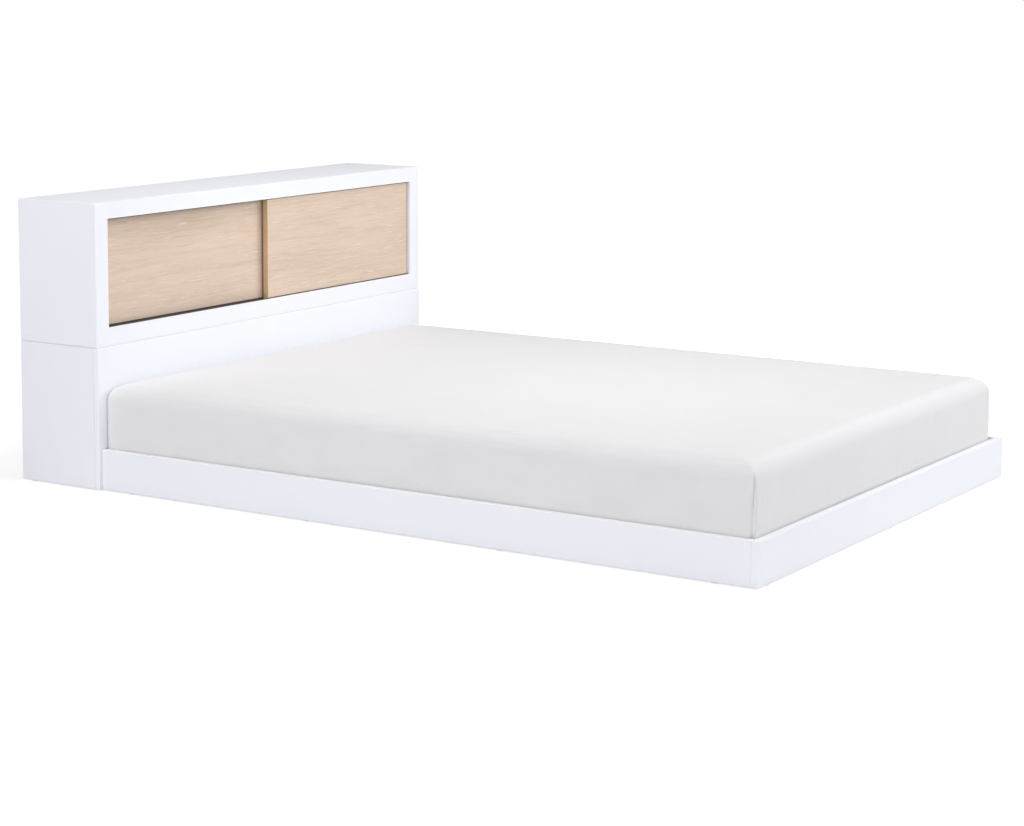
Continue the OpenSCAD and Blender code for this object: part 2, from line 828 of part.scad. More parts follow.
module mattress() {
    rings = skin(0);
    m = len(rings);
    low = m * ring_n;
    points = concat(flat(rings), [[0, 0, 0], top_point(0)]);
    bands = [for (k = [0:m - 2]) each band(k, k + 1)];
    under = [for (i = [0:ring_n - 1]) [low, i, (i + 1) % ring_n]];
    over = [for (i = [0:ring_n - 1]) [low + 1, (m - 1) * ring_n + (i + 1) % ring_n, (m - 1) * ring_n + i]];
    color("gainsboro") translate([mattress_shift, (bay_y0 + bay_y1) / 2, mattress_z])
        polyhedron(points, concat(bands, under, over), convexity = 4);
}

module fitted_sheet() {
    inner = cloth_clear;
    outer = cloth_clear + sheet_t;
    out_rings = concat([hem(outer)], skin(outer));
    in_rings = concat([hem(inner)], skin(inner));
    m = len(out_rings);
    rings = concat(out_rings, [for (k = [m - 1:-1:0]) in_rings[k]]);
    top = 2 * m * ring_n;
    points = concat(flat(rings), [top_point(outer), top_point(inner)]);
    bands = [for (k = [0:2 * m - 1]) if (k != m - 1) each band(k, (k + 1) % (2 * m))];
    cap = [for (i = [0:ring_n - 1]) [top, (m - 1) * ring_n + (i + 1) % ring_n, (m - 1) * ring_n + i]];
    lining = [for (i = [0:ring_n - 1]) [top + 1, m * ring_n + i, m * ring_n + (i + 1) % ring_n]];
    color("white") translate([mattress_shift, (bay_y0 + bay_y1) / 2, mattress_z])
        polyhedron(points, concat(bands, cap, lining), convexity = 6);
}

hutch_top();
hutch_bottom();
hutch_side_left();
hutch_side_right();
hutch_divider();
hutch_back_panel();
upper_track();
lower_track();
front_door();
front_door_glides();
rear_door();
rear_door_glides();
door_buffers();
hutch_bolts();
hutch_bolt_nuts();
hutch_dowels();
base_front_panel();
base_side_left();
base_side_right();
base_top_panel();
base_bottom_panel();
base_divider();
base_back_panel();
base_dowels();
back_panel_screws();
side_rail_left();
side_rail_right();
foot_rail();
ledge_left();
ledge_right();
ledge_screws();
centre_beam();
beam_brackets();
centre_feet();
corner_brackets();
bracket_screws();
slat_screws();
floor_glides();
mattress();
fitted_sheet();
for (i = [1:slat_count]) slat(i);
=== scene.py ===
# %% [markdown]
# Bookcase bed
#
# This lesson dresses a low platform bed with a bookcase headboard. The boards, doors, slats and
# fittings are solids that another tool made, and they are loaded as a fixed frame. Here they get
# their finishes, and the soft parts, the mattress and its fitted sheet, are modelled as cloth.
# All sizes are in metres. X runs across the bed, Y from the foot to the headboard, Z up.

import bpy
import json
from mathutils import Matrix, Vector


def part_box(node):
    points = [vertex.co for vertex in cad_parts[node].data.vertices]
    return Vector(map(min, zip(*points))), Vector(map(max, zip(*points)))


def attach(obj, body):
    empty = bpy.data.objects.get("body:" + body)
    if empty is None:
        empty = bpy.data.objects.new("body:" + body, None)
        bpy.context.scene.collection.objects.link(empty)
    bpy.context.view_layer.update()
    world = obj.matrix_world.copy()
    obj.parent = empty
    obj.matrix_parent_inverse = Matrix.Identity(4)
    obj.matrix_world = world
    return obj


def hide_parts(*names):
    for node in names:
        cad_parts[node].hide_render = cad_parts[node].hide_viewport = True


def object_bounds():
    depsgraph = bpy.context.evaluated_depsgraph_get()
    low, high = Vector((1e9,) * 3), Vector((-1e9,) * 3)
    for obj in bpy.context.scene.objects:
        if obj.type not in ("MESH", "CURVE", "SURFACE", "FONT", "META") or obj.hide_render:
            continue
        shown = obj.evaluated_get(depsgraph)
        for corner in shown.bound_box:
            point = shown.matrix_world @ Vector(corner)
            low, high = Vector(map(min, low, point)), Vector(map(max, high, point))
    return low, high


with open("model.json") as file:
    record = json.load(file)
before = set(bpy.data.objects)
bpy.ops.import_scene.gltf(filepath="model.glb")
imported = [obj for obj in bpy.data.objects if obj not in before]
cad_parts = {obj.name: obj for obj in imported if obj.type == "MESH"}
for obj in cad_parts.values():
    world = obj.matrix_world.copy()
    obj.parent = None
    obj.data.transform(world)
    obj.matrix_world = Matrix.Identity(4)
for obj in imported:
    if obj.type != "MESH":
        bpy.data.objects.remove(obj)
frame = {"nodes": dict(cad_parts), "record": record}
bpy.context.view_layer.update()
frame_low, frame_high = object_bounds()
print(f"frame: {len(frame['nodes'])} nodes, from {tuple(frame_low)} to {tuple(frame_high)}")

# %% [markdown]
# Tools of this lesson
#
# Blender's own modules do the work: bpy holds the scene, bmesh holds a mesh while it is cut and
# moved, and mathutils does the sums with points and turns. Small sizes are easier to read in
# millimetres, so MM turns them into metres.

# %% Tools of this lesson
import json
import math

import bmesh
import bpy
from mathutils import Euler, Vector

MM = 0.001
scene = bpy.context.scene
print(f"tools: Blender {bpy.app.version_string}")

# %% [markdown]
# Camera
#
# A photograph is matched by finding where its camera stood. That could be tried by eye, but the
# straight edges of the headboard and the rails give it exactly: all lines that are parallel on the
# bed meet in one point of the picture.
# A long lens far away gives the calm, almost parallel lines of a catalogue picture. The lens is
# shifted a little sideways and down, as on a view camera, so that upright edges stay upright.

# %% Camera
CAMERA_SPOT = (-5.9775, -3.689, 1.452)
CAMERA_TURN = -56.31
CAMERA_DIP = 6.59
SENSOR_WIDTH = 36.0
FOCAL_LENGTH = 86.10
LENS_SHIFT = (0.08, -0.15)

lens = bpy.data.cameras.new("camera")
lens.sensor_width, lens.lens = SENSOR_WIDTH, FOCAL_LENGTH
lens.shift_x, lens.shift_y = LENS_SHIFT
camera = bpy.data.objects.new("camera", lens)
camera.location = CAMERA_SPOT
camera.rotation_euler = Euler((math.radians(90 - CAMERA_DIP), 0, math.radians(CAMERA_TURN)))
scene.collection.objects.link(camera)
scene.camera = camera
scene.view_settings.view_transform = "Standard"
print(f"camera: {FOCAL_LENGTH} mm lens at {CAMERA_SPOT}")

# %% [markdown]
# Node helper
#
# Every finish is a small network of nodes. Writing the network by hand takes three lines for each
# node, so a short class does the repeated part: it adds a node, fills in its sockets and joins it
# to the nodes before it. A socket that is handed in is joined, and any other value is written in.


# %% Node helper
class Finish:
    """A material or world while it is being made."""

    def __init__(self, block):
        block.use_nodes = True
        self.block = block
        self.nodes, self.links = block.node_tree.nodes, block.node_tree.links

    def add(self, kind, sockets=None, **settings):
        node = self.nodes.new("ShaderNode" + kind)
        for name, value in settings.items():
            setattr(node, name, value)
        self.fill(node, sockets or {})
        return node

    def fill(self, node, sockets):
        for name, value in sockets.items():
            if isinstance(value, bpy.types.NodeSocket):
                self.links.new(value, node.inputs[name])
            else:
                node.inputs[name].default_value = value

    def sum_up(self, operation, *values):
        """The result of a Math node that is given these values."""
        return self.add("Math", dict(enumerate(values)), operation=operation).outputs[0]


print("helper: Finish")

# %% [markdown]
# Sky of the studio
#
# The bed is white on white, so the light has to be soft, and each side of a board has to be a
# little brighter or darker than the next. A bright sky alone would be soft, but it would make all
# sides alike. So the sky of the studio is an even, dim white, and large soft lamps do the rest.
# The camera and reflections see pure white in place of the sky.

# %% Sky of the studio
SKY_LIGHT = 0.18
SKY_TINT = (0.985, 0.99, 1.0, 1)
PURE_WHITE = (1, 1, 1, 1)


def seen_directly(finish):
    """1 for rays from the camera or from a mirror-like or clear surface, 0 for soft light."""
    path = finish.add("LightPath").outputs
    either = finish.sum_up("MAXIMUM", path["Is Camera Ray"], path["Is Glossy Ray"])
    return finish.sum_up("MAXIMUM", either, path["Is Transmission Ray"])


def by_ray(finish, soft, seen):
    """One shader for soft light, and another for what is seen directly."""
    sockets = {0: seen_directly(finish), 1: soft.outputs[0], 2: seen.outputs[0]}
    return finish.add("MixShader", sockets).outputs[0]


world = bpy.data.worlds.new("studio")
scene.world = world
sky = Finish(world)
sky.nodes.clear()
sky_soft = sky.add("Background", {"Color": SKY_TINT, "Strength": SKY_LIGHT})
sky_seen = sky.add("Background", {"Color": PURE_WHITE, "Strength": 1.0})
sky.add("OutputWorld", {"Surface": by_ray(sky, sky_soft, sky_seen)})
print(f"sky: soft light {SKY_LIGHT}")

# %% [markdown]
# Floor
#
# The floor is a pale sweep. It throws soft light up at the rails, and it keeps a faint shadow
# along the foot of the bed. A cut-out on plain white would lose that shadow. So for the camera the
# floor glows a little, and more so farther away, until the open floor is white up to the horizon
# and only the shadow is left. Under the bed the glow goes out, so that it is dark between the
# slats, as it is under a real bed.

# %% Glow of the floor
GLOW_NEAR, GLOW_FAR = 0.68, 1.0
GLOW_FROM, GLOW_TO = 1.3, 2.6
UNDER_BED_INSET, UNDER_BED_FADE = 50 * MM, 50 * MM


def spread(finish, value, low, high, to_low=0.0, to_high=1.0):
    """Stretches value from low to high over to_low to to_high, and cuts off what lies outside."""
    sockets = {"Value": value, "From Min": low, "From Max": high}
    sockets |= {"To Min": to_low, "To Max": to_high}
    return finish.add("MapRange", sockets).outputs[0]


def open_floor(finish, spot):
    """0 under the bed and 1 outside it, with a soft border well inside the bed's outline."""
    split = finish.add("SeparateXYZ", {"Vector": spot})
    shares = []
    for axis, reach in zip("XY", frame_high):
        away = finish.sum_up("ABSOLUTE", split.outputs[axis])
        border = reach - UNDER_BED_INSET
        shares.append(spread(finish, away, border - UNDER_BED_FADE, border))
    return finish.sum_up("MAXIMUM", *shares)


def floor_glow(finish):
    """How strongly the floor glows for the camera at each place."""
    spot = finish.add("TexCoord").outputs["Object"]
    far = finish.add("VectorMath", {0: spot}, operation="LENGTH").outputs["Value"]
    strength = spread(finish, far, GLOW_FROM, GLOW_TO, GLOW_NEAR, GLOW_FAR)
    return finish.sum_up("MULTIPLY", strength, open_floor(finish, spot))


print(f"floor glow: from {GLOW_NEAR} near the bed to {GLOW_FAR} far away")

# %% Floor
FLOOR_WIDTH = 60.0
FLOOR_COLOUR = (0.80, 0.80, 0.81, 1)
FLOOR_SEEN_COLOUR = (0.42, 0.42, 0.42, 1)


def object_of(name, mesh_block, material, smooth=True):
    """Turns a bmesh into an object of the scene, and frees the bmesh."""
    mesh = bpy.data.meshes.new(name)
    mesh_block.to_mesh(mesh)
    mesh_block.free()
    mesh.materials.append(material)
    mesh.polygons.foreach_set("use_smooth", [smooth] * len(mesh.polygons))
    piece = bpy.data.objects.new(name, mesh)
    scene.collection.objects.link(piece)
    return piece


sweep_finish = Finish(bpy.data.materials.new("floor"))
sweep_finish.nodes.clear()
bounce = sweep_finish.add("BsdfDiffuse", {"Color": FLOOR_COLOUR})
shade = sweep_finish.add("BsdfDiffuse", {"Color": FLOOR_SEEN_COLOUR})
glow = sweep_finish.add(
    "Emission", {"Color": PURE_WHITE, "Strength": floor_glow(sweep_finish)}
)
lit = sweep_finish.add("AddShader", {0: shade.outputs[0], 1: glow.outputs[0]})
sweep_finish.add("OutputMaterial", {"Surface": by_ray(sweep_finish, bounce, lit)})

sweep = bmesh.new()
bmesh.ops.create_grid(sweep, x_segments=1, y_segments=1, size=FLOOR_WIDTH / 2)
floor = object_of("floor", sweep, sweep_finish.block, smooth=False)
print(f"floor: {FLOOR_WIDTH:.0f} m square")

# %% [markdown]
# Lamps
#
# One strong lamp would throw hard shadows. So seven large square lamps stand round the bed, as soft
# boxes do in a studio. The window lamp at the front right and the lamp at the left make the ends of
# the boards differ. One in front and one beside the camera light the faces that the camera sees.
# Those overhead lift the mattress, and the last, with a grid that narrows it, only its middle.


# %% Lamps
def soft_box(name, spot, aim, size, power, grid=180):
    """A square lamp at spot that faces the point aim. A grid narrows its light to an angle."""
    lamp = bpy.data.lights.new(name, "AREA")
    lamp.shape, lamp.size, lamp.energy = "SQUARE", size, power
    lamp.spread = math.radians(grid)
    holder = bpy.data.objects.new(name, lamp)
    holder.location = spot
    holder.rotation_euler = (Vector(aim) - Vector(spot)).to_track_quat("-Z", "Y").to_euler()
    scene.collection.objects.link(holder)
    print(f"lamp {name}: {power} W, {size} m square")


soft_box("window", spot=(4.8, -4.6, 3.4), aim=(0, 0.2, 0.3), size=2.4, power=208)
soft_box("front", spot=(-0.8, -8.0, 1.6), aim=(0, 0, 0.4), size=3.0, power=70)
soft_box("left", spot=(-5.5, 1.4, 3.6), aim=(-0.8, 0, 0.3), size=2.5, power=144)
soft_box("beside the camera", spot=(-7.6, -4.8, 2.6), aim=(0, 0, 0.3), size=2.5, power=162)
soft_box("over the foot", spot=(0.2, -1.4, 3.2), aim=(0.1, -1.2, 0.3), size=2.4, power=30)
soft_box("over the middle", spot=(0, -0.3, 5.2), aim=(0, -0.3, 0.3), size=2.4, power=40)
soft_box("gridded", spot=(-0.1, -0.9, 3.4), aim=(-0.1, 0.1, 0.3), size=1.2, power=2.4, grid=60)

# %% [markdown]
# Patterns
#
# A finish could be a picture that is wrapped round each piece. A pattern that is worked out from
# the place on the object needs no wrapping, never repeats and stays sharp close up. A few helpers
# do it: one gives the place, some make and mix noises, one raises the surface, and one finds the
# edges. It uses a Bevel node, which rounds the normals near an edge: where they differ from the
# real ones is the edge.


# %% Places and noises
def object_spot(finish, stretch=(1, 1, 1), turn=(0, 0, 0)):
    """The place on the object, stretched and turned for a pattern that has a direction."""
    source = finish.add("TexCoord").outputs["Object"]
    angles = [math.radians(angle) for angle in turn]
    sockets = {"Vector": source, "Scale": stretch, "Rotation": angles}
    return finish.add("Mapping", sockets).outputs[0]


def noise(finish, spot, scale, detail=2.0, roughness=0.5, distortion=0.0):
    sockets = {"Vector": spot, "Scale": scale, "Detail": detail}
    sockets |= {"Roughness": roughness, "Distortion": distortion}
    return finish.add("TexNoise", sockets).outputs[0]


def clouds(finish, spot, scale, detail=2.0, roughness=0.5):
    """Soft patches from 0 to 1: the middle part of a noise."""
    return spread(finish, noise(finish, spot, scale, detail, roughness), 0.35, 0.65)


def along_axis(finish, axis):
    """How far along this axis a place on the object lies."""
    return finish.add("SeparateXYZ", {"Vector": object_spot(finish)}).outputs[axis]


print("helpers: object_spot, noise, clouds, along_axis")


# %% Mixing and relief
def tint(finish, share, first, second):
    """Mixes two colours by share."""
    return finish.add("Mix", {0: share, 6: first, 7: second}, data_type="RGBA").outputs[2]


def times(finish, first, second):
    return finish.sum_up("MULTIPLY", first, second)


def plus(finish, first, second):
    return finish.sum_up("ADD", first, second)


def relief(finish, height, depth, under=None):
    """Raises the surface by height times depth, on top of the relief under it."""
    sockets = {"Height": height, "Distance": depth, "Strength": 1.0}
    if under is not None:
        sockets["Normal"] = under
    return finish.add("Bump", sockets).outputs[0]


print("helpers: tint, times, plus, relief")

# %% Edges and sides
FLAT_MATCH, EDGE_MATCH = 0.995, 0.80
SIDE_FROM, SIDE_TO = 0.6, 0.9


def edge_share(finish, radius):
    """Close to 1 within radius of an edge, and 0 on the flat."""
    rounded_normal = finish.add("Bevel", {"Radius": radius}, samples=4).outputs[0]
    normal = finish.add("NewGeometry").outputs["Normal"]
    match = finish.add("VectorMath", {0: rounded_normal, 1: normal}, operation="DOT_PRODUCT")
    return spread(finish, match.outputs["Value"], FLAT_MATCH, EDGE_MATCH)


def facing(finish, axis):
    """1 on the two sides that face along the axis, 0 on the others."""
    normal = finish.add("NewGeometry").outputs["True Normal"]
    part = finish.add("SeparateXYZ", {"Vector": normal}).outputs[axis]
    return spread(finish, finish.sum_up("ABSOLUTE", part), SIDE_FROM, SIDE_TO)


print("helpers: edge_share, facing")

# %% [markdown]
# White lacquer
#
# The boards are sprayed with white satin lacquer. One flat colour would look like a drawing of it,
# because sprayed lacquer is never quite flat: it dries with a fine orange peel, and it is a touch
# shinier in some places than in others. Its edges are a little glossier, and they carry a painted
# highlight, a cleaner white along each edge.
# Each pattern has a count, which says how often it changes in a metre.

# %% White lacquer
LACQUER = (0.872, 0.882, 0.935, 1)
LACQUER_CLOUD = (0.858, 0.870, 0.924, 1)
# The edge colour is a painted highlight along the edges of the boards.
LACQUER_PAINTED_HIGHLIGHT = (0.965, 0.970, 0.980, 1)
CLOUD_COUNT, SPECK_COUNT, SPECK_STRENGTH = 2.2, 900, 0.25
EDGE_WIDTH, EDGE_HIGHLIGHT_AND_WEAR, EDGE_SMOOTHS = 2.5 * MM, 0.85, 0.06
WIPE_COUNT, WIPE_STRETCH = 9, (1, 1, 6)
PEEL_COUNT, PEEL_DEPTH = 420, 0.03 * MM
WAVE_COUNT, WAVE_DEPTH = 38, 0.05 * MM
SATIN = (0.56, 0.64)
SATIN_SPECULAR = 0.22


def finish_named(name, specular=0.5):
    made = Finish(bpy.data.materials.new(name))
    made.shader = made.nodes["Principled BSDF"]
    made.shader.inputs["Specular IOR Level"].default_value = specular
    return made


def make_lacquer(name, colours=(LACQUER, LACQUER_CLOUD, LACQUER_PAINTED_HIGHLIGHT), gloss=SATIN, sides_and_painted_light=None):
    """The last argument adds painted light that shows on some sides only, such as on the top."""
    colour, cloud_colour, edge_highlight_and_wear = colours
    paint = finish_named(name, SATIN_SPECULAR)
    spot = object_spot(paint)
    edge = edge_share(paint, EDGE_WIDTH)
    speck = noise(paint, spot, SPECK_COUNT, detail=1)
    speck = spread(paint, speck, 0.70, 0.80, to_high=SPECK_STRENGTH)
    base = tint(paint, clouds(paint, spot, CLOUD_COUNT, detail=3), colour, cloud_colour)
    base = tint(paint, speck, base, cloud_colour)
    # A painted highlight along the edges; on the back board, the same mix is rubbed-through wear.
    base = tint(paint, times(paint, edge, EDGE_HIGHLIGHT_AND_WEAR), base, edge_highlight_and_wear)
    if sides_and_painted_light:
        base = sides_and_painted_light(paint, base)
    wipe = noise(paint, object_spot(paint, WIPE_STRETCH), WIPE_COUNT, detail=4, roughness=0.6)
    wipe = spread(paint, wipe, 0.3, 0.7, *gloss)
    rough = plus(paint, wipe, times(paint, edge, -EDGE_SMOOTHS))
    peel = relief(paint, noise(paint, spot, PEEL_COUNT), PEEL_DEPTH)
    peel = relief(paint, noise(paint, spot, WAVE_COUNT, detail=1), WAVE_DEPTH, peel)
    paint.fill(paint.shader, {"Base Color": base, "Roughness": rough, "Normal": peel})
    return paint.block


white_lacquer = make_lacquer("white_lacquer")
print("finish: white_lacquer")

# %% [markdown]
# Painted light on the lacquer, and back boards
#
# The tops of the rails carry a painted highlight, a little whiter than the lacquer, which is
# found by the direction that the face looks in. The ends of the front panel are painted lighter
# in the same way, and a fine line of painted shade runs where the side of the cabinet meets them.
# The back panels are hardboard with a plain white paint, whose edges rub through to brown.

# %% Painted light on the lacquer, and back boards
# Painted highlight on the rail tops, and paler painted light on the foot rail and panel ends.
PAINTED_TOP_HIGHLIGHT_WHITE = (0.975, 0.978, 0.984, 1)
PAINTED_LIGHT_PALE = (0.895, 0.903, 0.942, 1)
# A line of painted shade where the side of the cabinet meets the front panel.
PAINTED_JOINT_SHADE = (0.55, 0.55, 0.58, 1)
JOINT_FROM, JOINT_TO = 2.0 * MM, 1.4 * MM
PAINT, PAINT_CLOUD = (0.83, 0.83, 0.83, 1), (0.80, 0.80, 0.80, 1)
RUBBED_THROUGH = (0.74, 0.70, 0.64, 1)
EGGSHELL = (0.5, 0.6)


# Painted highlight on the tops of the side rails.
def white_painted_top_highlight(paint, base):
    return tint(paint, facing(paint, "Z"), base, PAINTED_TOP_HIGHLIGHT_WHITE)


# A paler painted highlight on the top of the foot rail.
def pale_painted_top_highlight(paint, base):
    return tint(paint, facing(paint, "Z"), base, PAINTED_LIGHT_PALE)


def painted_end_light(paint, base):
    """Ends painted lighter, with painted shade in a line where the cabinet's side meets them."""
    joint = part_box("base_front_panel")[1].y
    line = spread(paint, along_axis(paint, "Y"), joint - JOINT_FROM, joint - JOINT_TO)
    # The ends are painted lighter, with a line of painted shade at the joint.
    return tint(paint, facing(paint, "X"), base, tint(paint, line, PAINTED_LIGHT_PALE, PAINTED_JOINT_SHADE))


side_rail_lacquer = make_lacquer("side_rail_lacquer", sides_and_painted_light=white_painted_top_highlight)
foot_rail_lacquer = make_lacquer("foot_rail_lacquer", sides_and_painted_light=pale_painted_top_highlight)
front_panel_lacquer = make_lacquer("front_panel_lacquer", sides_and_painted_light=painted_end_light)
back_board = make_lacquer("back_board", (PAINT, PAINT_CLOUD, RUBBED_THROUGH), EGGSHELL)
print("finishes: three lacquers with painted light, back_board")

# %% [markdown]
# Wood
#
# Oak veneer, pine and beech share one build. Growth rings make broad bands, fibres make fine
# streaks along the grain, and pores make short dark dashes. A picture of a board would have to be
# laid out on every piece, and it would show the same knot twice. So each is a noise instead that is
# stretched along the grain, because wood cells are long and thin. Its counts say how often it
# changes in a metre, first along the grain and then across it.

# %% Grain patterns
WANDER, RINGS, PATCHES, FIBRES = (0.7, 6), (1.5, 34), (2.6, 9), (6.5, 215)
HAIRS, PORES, RAYS, KNOTS = (22, 900), (48, 1300), (11.7, 273), (2.1, 7)
WANDER_SHARE = 0.35


def grain_spot(wood, counts, turn):
    along, across = counts
    return object_spot(wood, (along, across, across), turn)


def grain_noise(wood, counts, turn, **settings):
    return noise(wood, grain_spot(wood, counts, turn), 1.0, **settings)


def ring_bands(wood, turn):
    """The broad bands of the growth rings, which wander a little along the board."""
    ring = grain_noise(wood, RINGS, turn, detail=4, roughness=0.55, distortion=0.6)
    wander = times(wood, grain_noise(wood, WANDER, turn), WANDER_SHARE)
    return spread(wood, plus(wood, ring, wander), 0.50, 0.86)


def ray_flecks(wood, turn):
    """The short bright flecks of oak."""
    return spread(wood, grain_noise(wood, RAYS, turn, detail=1), 0.62, 0.70)


def knot_spots(wood, turn):
    """Round spots, far apart, where branches grew."""
    cells = wood.add("TexVoronoi", {"Vector": grain_spot(wood, KNOTS, turn), "Scale": 1.0})
    return spread(wood, cells.outputs["Distance"], 0.13, 0.06)


print("patterns: ring_bands, ray_flecks, knot_spots")

# %% [markdown]
# What differs from wood to wood is how strong each pattern is, so the recipe takes those strengths
# as values. Fibres and pores also make the relief, because they are what a fingertip feels.

# %% Wood recipe
WARMER, RAY_LIGHTER, KNOT_DARKER = (1.03, 0.985, 0.97), (1.14,) * 3, (0.45,) * 3
PATCH_SHARE, HAIR_SHARE = 0.5, 0.45
PORE_DEPTH, HAIR_DEPTH = 0.05 * MM, 0.02 * MM
MATT_WOOD = (0.48, 0.66)
WOOD_SPECULAR = 0.35


def scaled(colour, factors):
    """The colour with its channels times the factors, none of them past 1."""
    return [min(1, channel * factor) for channel, factor in zip(colour, factors)] + [1]


def make_wood(
    name,
    turn,
    pale,
    dark,
    pore,
    bands,
    streaks,
    pores,
    rays=0.0,
    knots=0.0,
    fibre_range=(0.36, 0.68),
    sides_and_painted_light=None,
):
    """turn brings the long direction of the patterns in line with the grain. The last argument adds
    what shows on some sides only: an end strip, with painted highlight and painted shade."""
    wood = finish_named(name, WOOD_SPECULAR)
    fibre = grain_noise(wood, FIBRES, turn, detail=3, roughness=0.6)
    fibre = spread(wood, fibre, *fibre_range)
    hair = clouds(wood, grain_spot(wood, HAIRS, turn), 1.0)
    hole = spread(wood, grain_noise(wood, PORES, turn, detail=1), 0.66, 0.74)
    share = plus(wood, times(wood, ring_bands(wood, turn), bands), times(wood, fibre, streaks))
    share = plus(wood, share, times(wood, hair, streaks * HAIR_SHARE))
    base = tint(wood, share, pale, dark)
    patch = clouds(wood, grain_spot(wood, PATCHES, turn), 1.0)
    base = tint(wood, times(wood, patch, PATCH_SHARE), base, scaled(pale, WARMER))
    if rays:
        flecks = times(wood, ray_flecks(wood, turn), rays)
        base = tint(wood, flecks, base, scaled(pale, RAY_LIGHTER))
    if knots:
        spots = times(wood, knot_spots(wood, turn), knots)
        base = tint(wood, spots, base, scaled(dark, KNOT_DARKER))
    base = tint(wood, times(wood, hole, pores), base, pore)
    if sides_and_painted_light:
        base = sides_and_painted_light(wood, base)
    raised = plus(wood, times(wood, fibre, 0.5), times(wood, hole, -1.0))
    grain = relief(wood, hair, HAIR_DEPTH, relief(wood, raised, PORE_DEPTH))
    rough = spread(wood, plus(wood, fibre, hole), 0, 2, *MATT_WOOD)
    wood.fill(wood.shader, {"Base Color": base, "Roughness": rough, "Normal": grain})
    return wood.block


print("recipe: make_wood")

# %% [markdown]
# Doors of pale oak
#
# The doors are veneered with pale oak, its grain laid sideways. The veneer is bleached and matt:
# its streaks are soft, and only its pores are clearly darker. Its edges carry a painted highlight.
# The ends are closed with a strip of end grain, a little yellower, and darkened as painted shade.
# The last few millimetres at the back of each door are painted dark brown, as painted shade in
# the gap between the doors, which shows as a thin line along the ends.

# %% Oak veneer
ALONG_X, ALONG_Y, ALONG_Z = (0, 0, 0), (0, 0, 90), (0, 90, 0)
# A painted highlight along the edges of the doors.
DOOR_HIGHLIGHT_COLOUR = (0.84, 0.72, 0.60, 1)
# The end strip: yellower end grain, darkened as painted shade.
END_STRIP_WITH_PAINTED_SHADE = (0.65, 0.46, 0.26, 1)
# Dark painted shade for the gap between the doors, at the back of each door.
DOOR_GAP_SHADE_COLOUR = (0.16, 0.085, 0.045, 1)
DOOR_GAP_SHADE_DEPTH, DOOR_GAP_SHADE_LAP, DOOR_GAP_SHADE_SHARE = 2.5 * MM, 0.1 * MM, 0.9
DOOR_EDGE_WIDTH, DOOR_HIGHLIGHT_SHARE = 1.2 * MM, 0.6
DOOR_BACKS = [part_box(door)[1].y for door in ("front_door", "rear_door")]


def door_ends(wood, base):
    """Door edges with a painted highlight, and ends and backs with painted shade."""
    # A painted highlight along the edges of the doors.
    wear_and_highlight = times(wood, edge_share(wood, DOOR_EDGE_WIDTH), DOOR_HIGHLIGHT_SHARE)
    base = tint(wood, wear_and_highlight, base, DOOR_HIGHLIGHT_COLOUR)
    # The ends get the yellower end grain, darkened as painted shade.
    base = tint(wood, facing(wood, "X"), base, END_STRIP_WITH_PAINTED_SHADE)
    # Painted shade in the gap: the last millimetres at the back of each door are darkened.
    depth = along_axis(wood, "Y")
    for back in DOOR_BACKS:
        middle, reach = back - DOOR_GAP_SHADE_DEPTH / 2, DOOR_GAP_SHADE_DEPTH / 2 + DOOR_GAP_SHADE_LAP
        gap_shade_mask = times(wood, wood.sum_up("COMPARE", depth, middle, reach), DOOR_GAP_SHADE_SHARE)
        base = tint(wood, gap_shade_mask, base, DOOR_GAP_SHADE_COLOUR)
    return base


oak_veneer = make_wood(
    "oak_veneer",
    ALONG_X,
    pale=(0.722, 0.584, 0.474, 1),
    dark=(0.545, 0.400, 0.292, 1),
    pore=(0.42, 0.28, 0.19, 1),
    bands=0.36,
    streaks=0.46,
    pores=0.45,
    rays=0.70,
    fibre_range=(0.46, 0.72),
    sides_and_painted_light=door_ends,
)
print(f"finish: oak_veneer, painted gap shade at {[round(back, 4) for back in DOOR_BACKS]} m")

# %% [markdown]
# Pine and beech
#
# Slats, ledges and the centre beam are planed pine, with broad rings and a knot here and there. The
# dowels are beech, which is even and has many small pores. Pine is needed twice, because the grain
# of a slat runs across the bed and that of a ledge along it.

# %% Pine and beech
PINE = {
    "pale": (0.80, 0.65, 0.45, 1),
    "dark": (0.66, 0.46, 0.25, 1),
    "pore": (0.45, 0.28, 0.14, 1),
    "bands": 0.55,
    "streaks": 0.30,
    "pores": 0.12,
    "knots": 0.8,
}
pine_across = make_wood("pine_across", ALONG_X, **PINE)
pine_along = make_wood("pine_along", ALONG_Y, **PINE)
beech = make_wood(
    "beech",
    ALONG_Z,
    pale=(0.72, 0.53, 0.35, 1),
    dark=(0.60, 0.40, 0.24, 1),
    pore=(0.40, 0.24, 0.14, 1),
    bands=0.25,
    streaks=0.35,
    pores=0.35,
)
print("finishes: pine_across, pine_along, beech")

# %% [markdown]
# Plastics and rubber
#
# The door tracks are drawn from dark brown plastic, and drawing leaves faint lines along their
# length. The glides of the doors are natural nylon. The feet are moulded with a fine leather-like
# grain, and the buffers are soft rubber that holds a little dust. The grain is less than a tenth of
# a millimetre deep. To model it would take millions of faces, so a relief in the finish makes it.


# %% Plastic recipe
DUST_COUNT, DUST_SHARE, DUST_DULLS = 24, 0.35, 0.12
PLASTIC_EDGE_WIDTH, PLASTIC_EDGE_WEAR = 1.0 * MM, 0.45
LINE_SHARE = 0.3


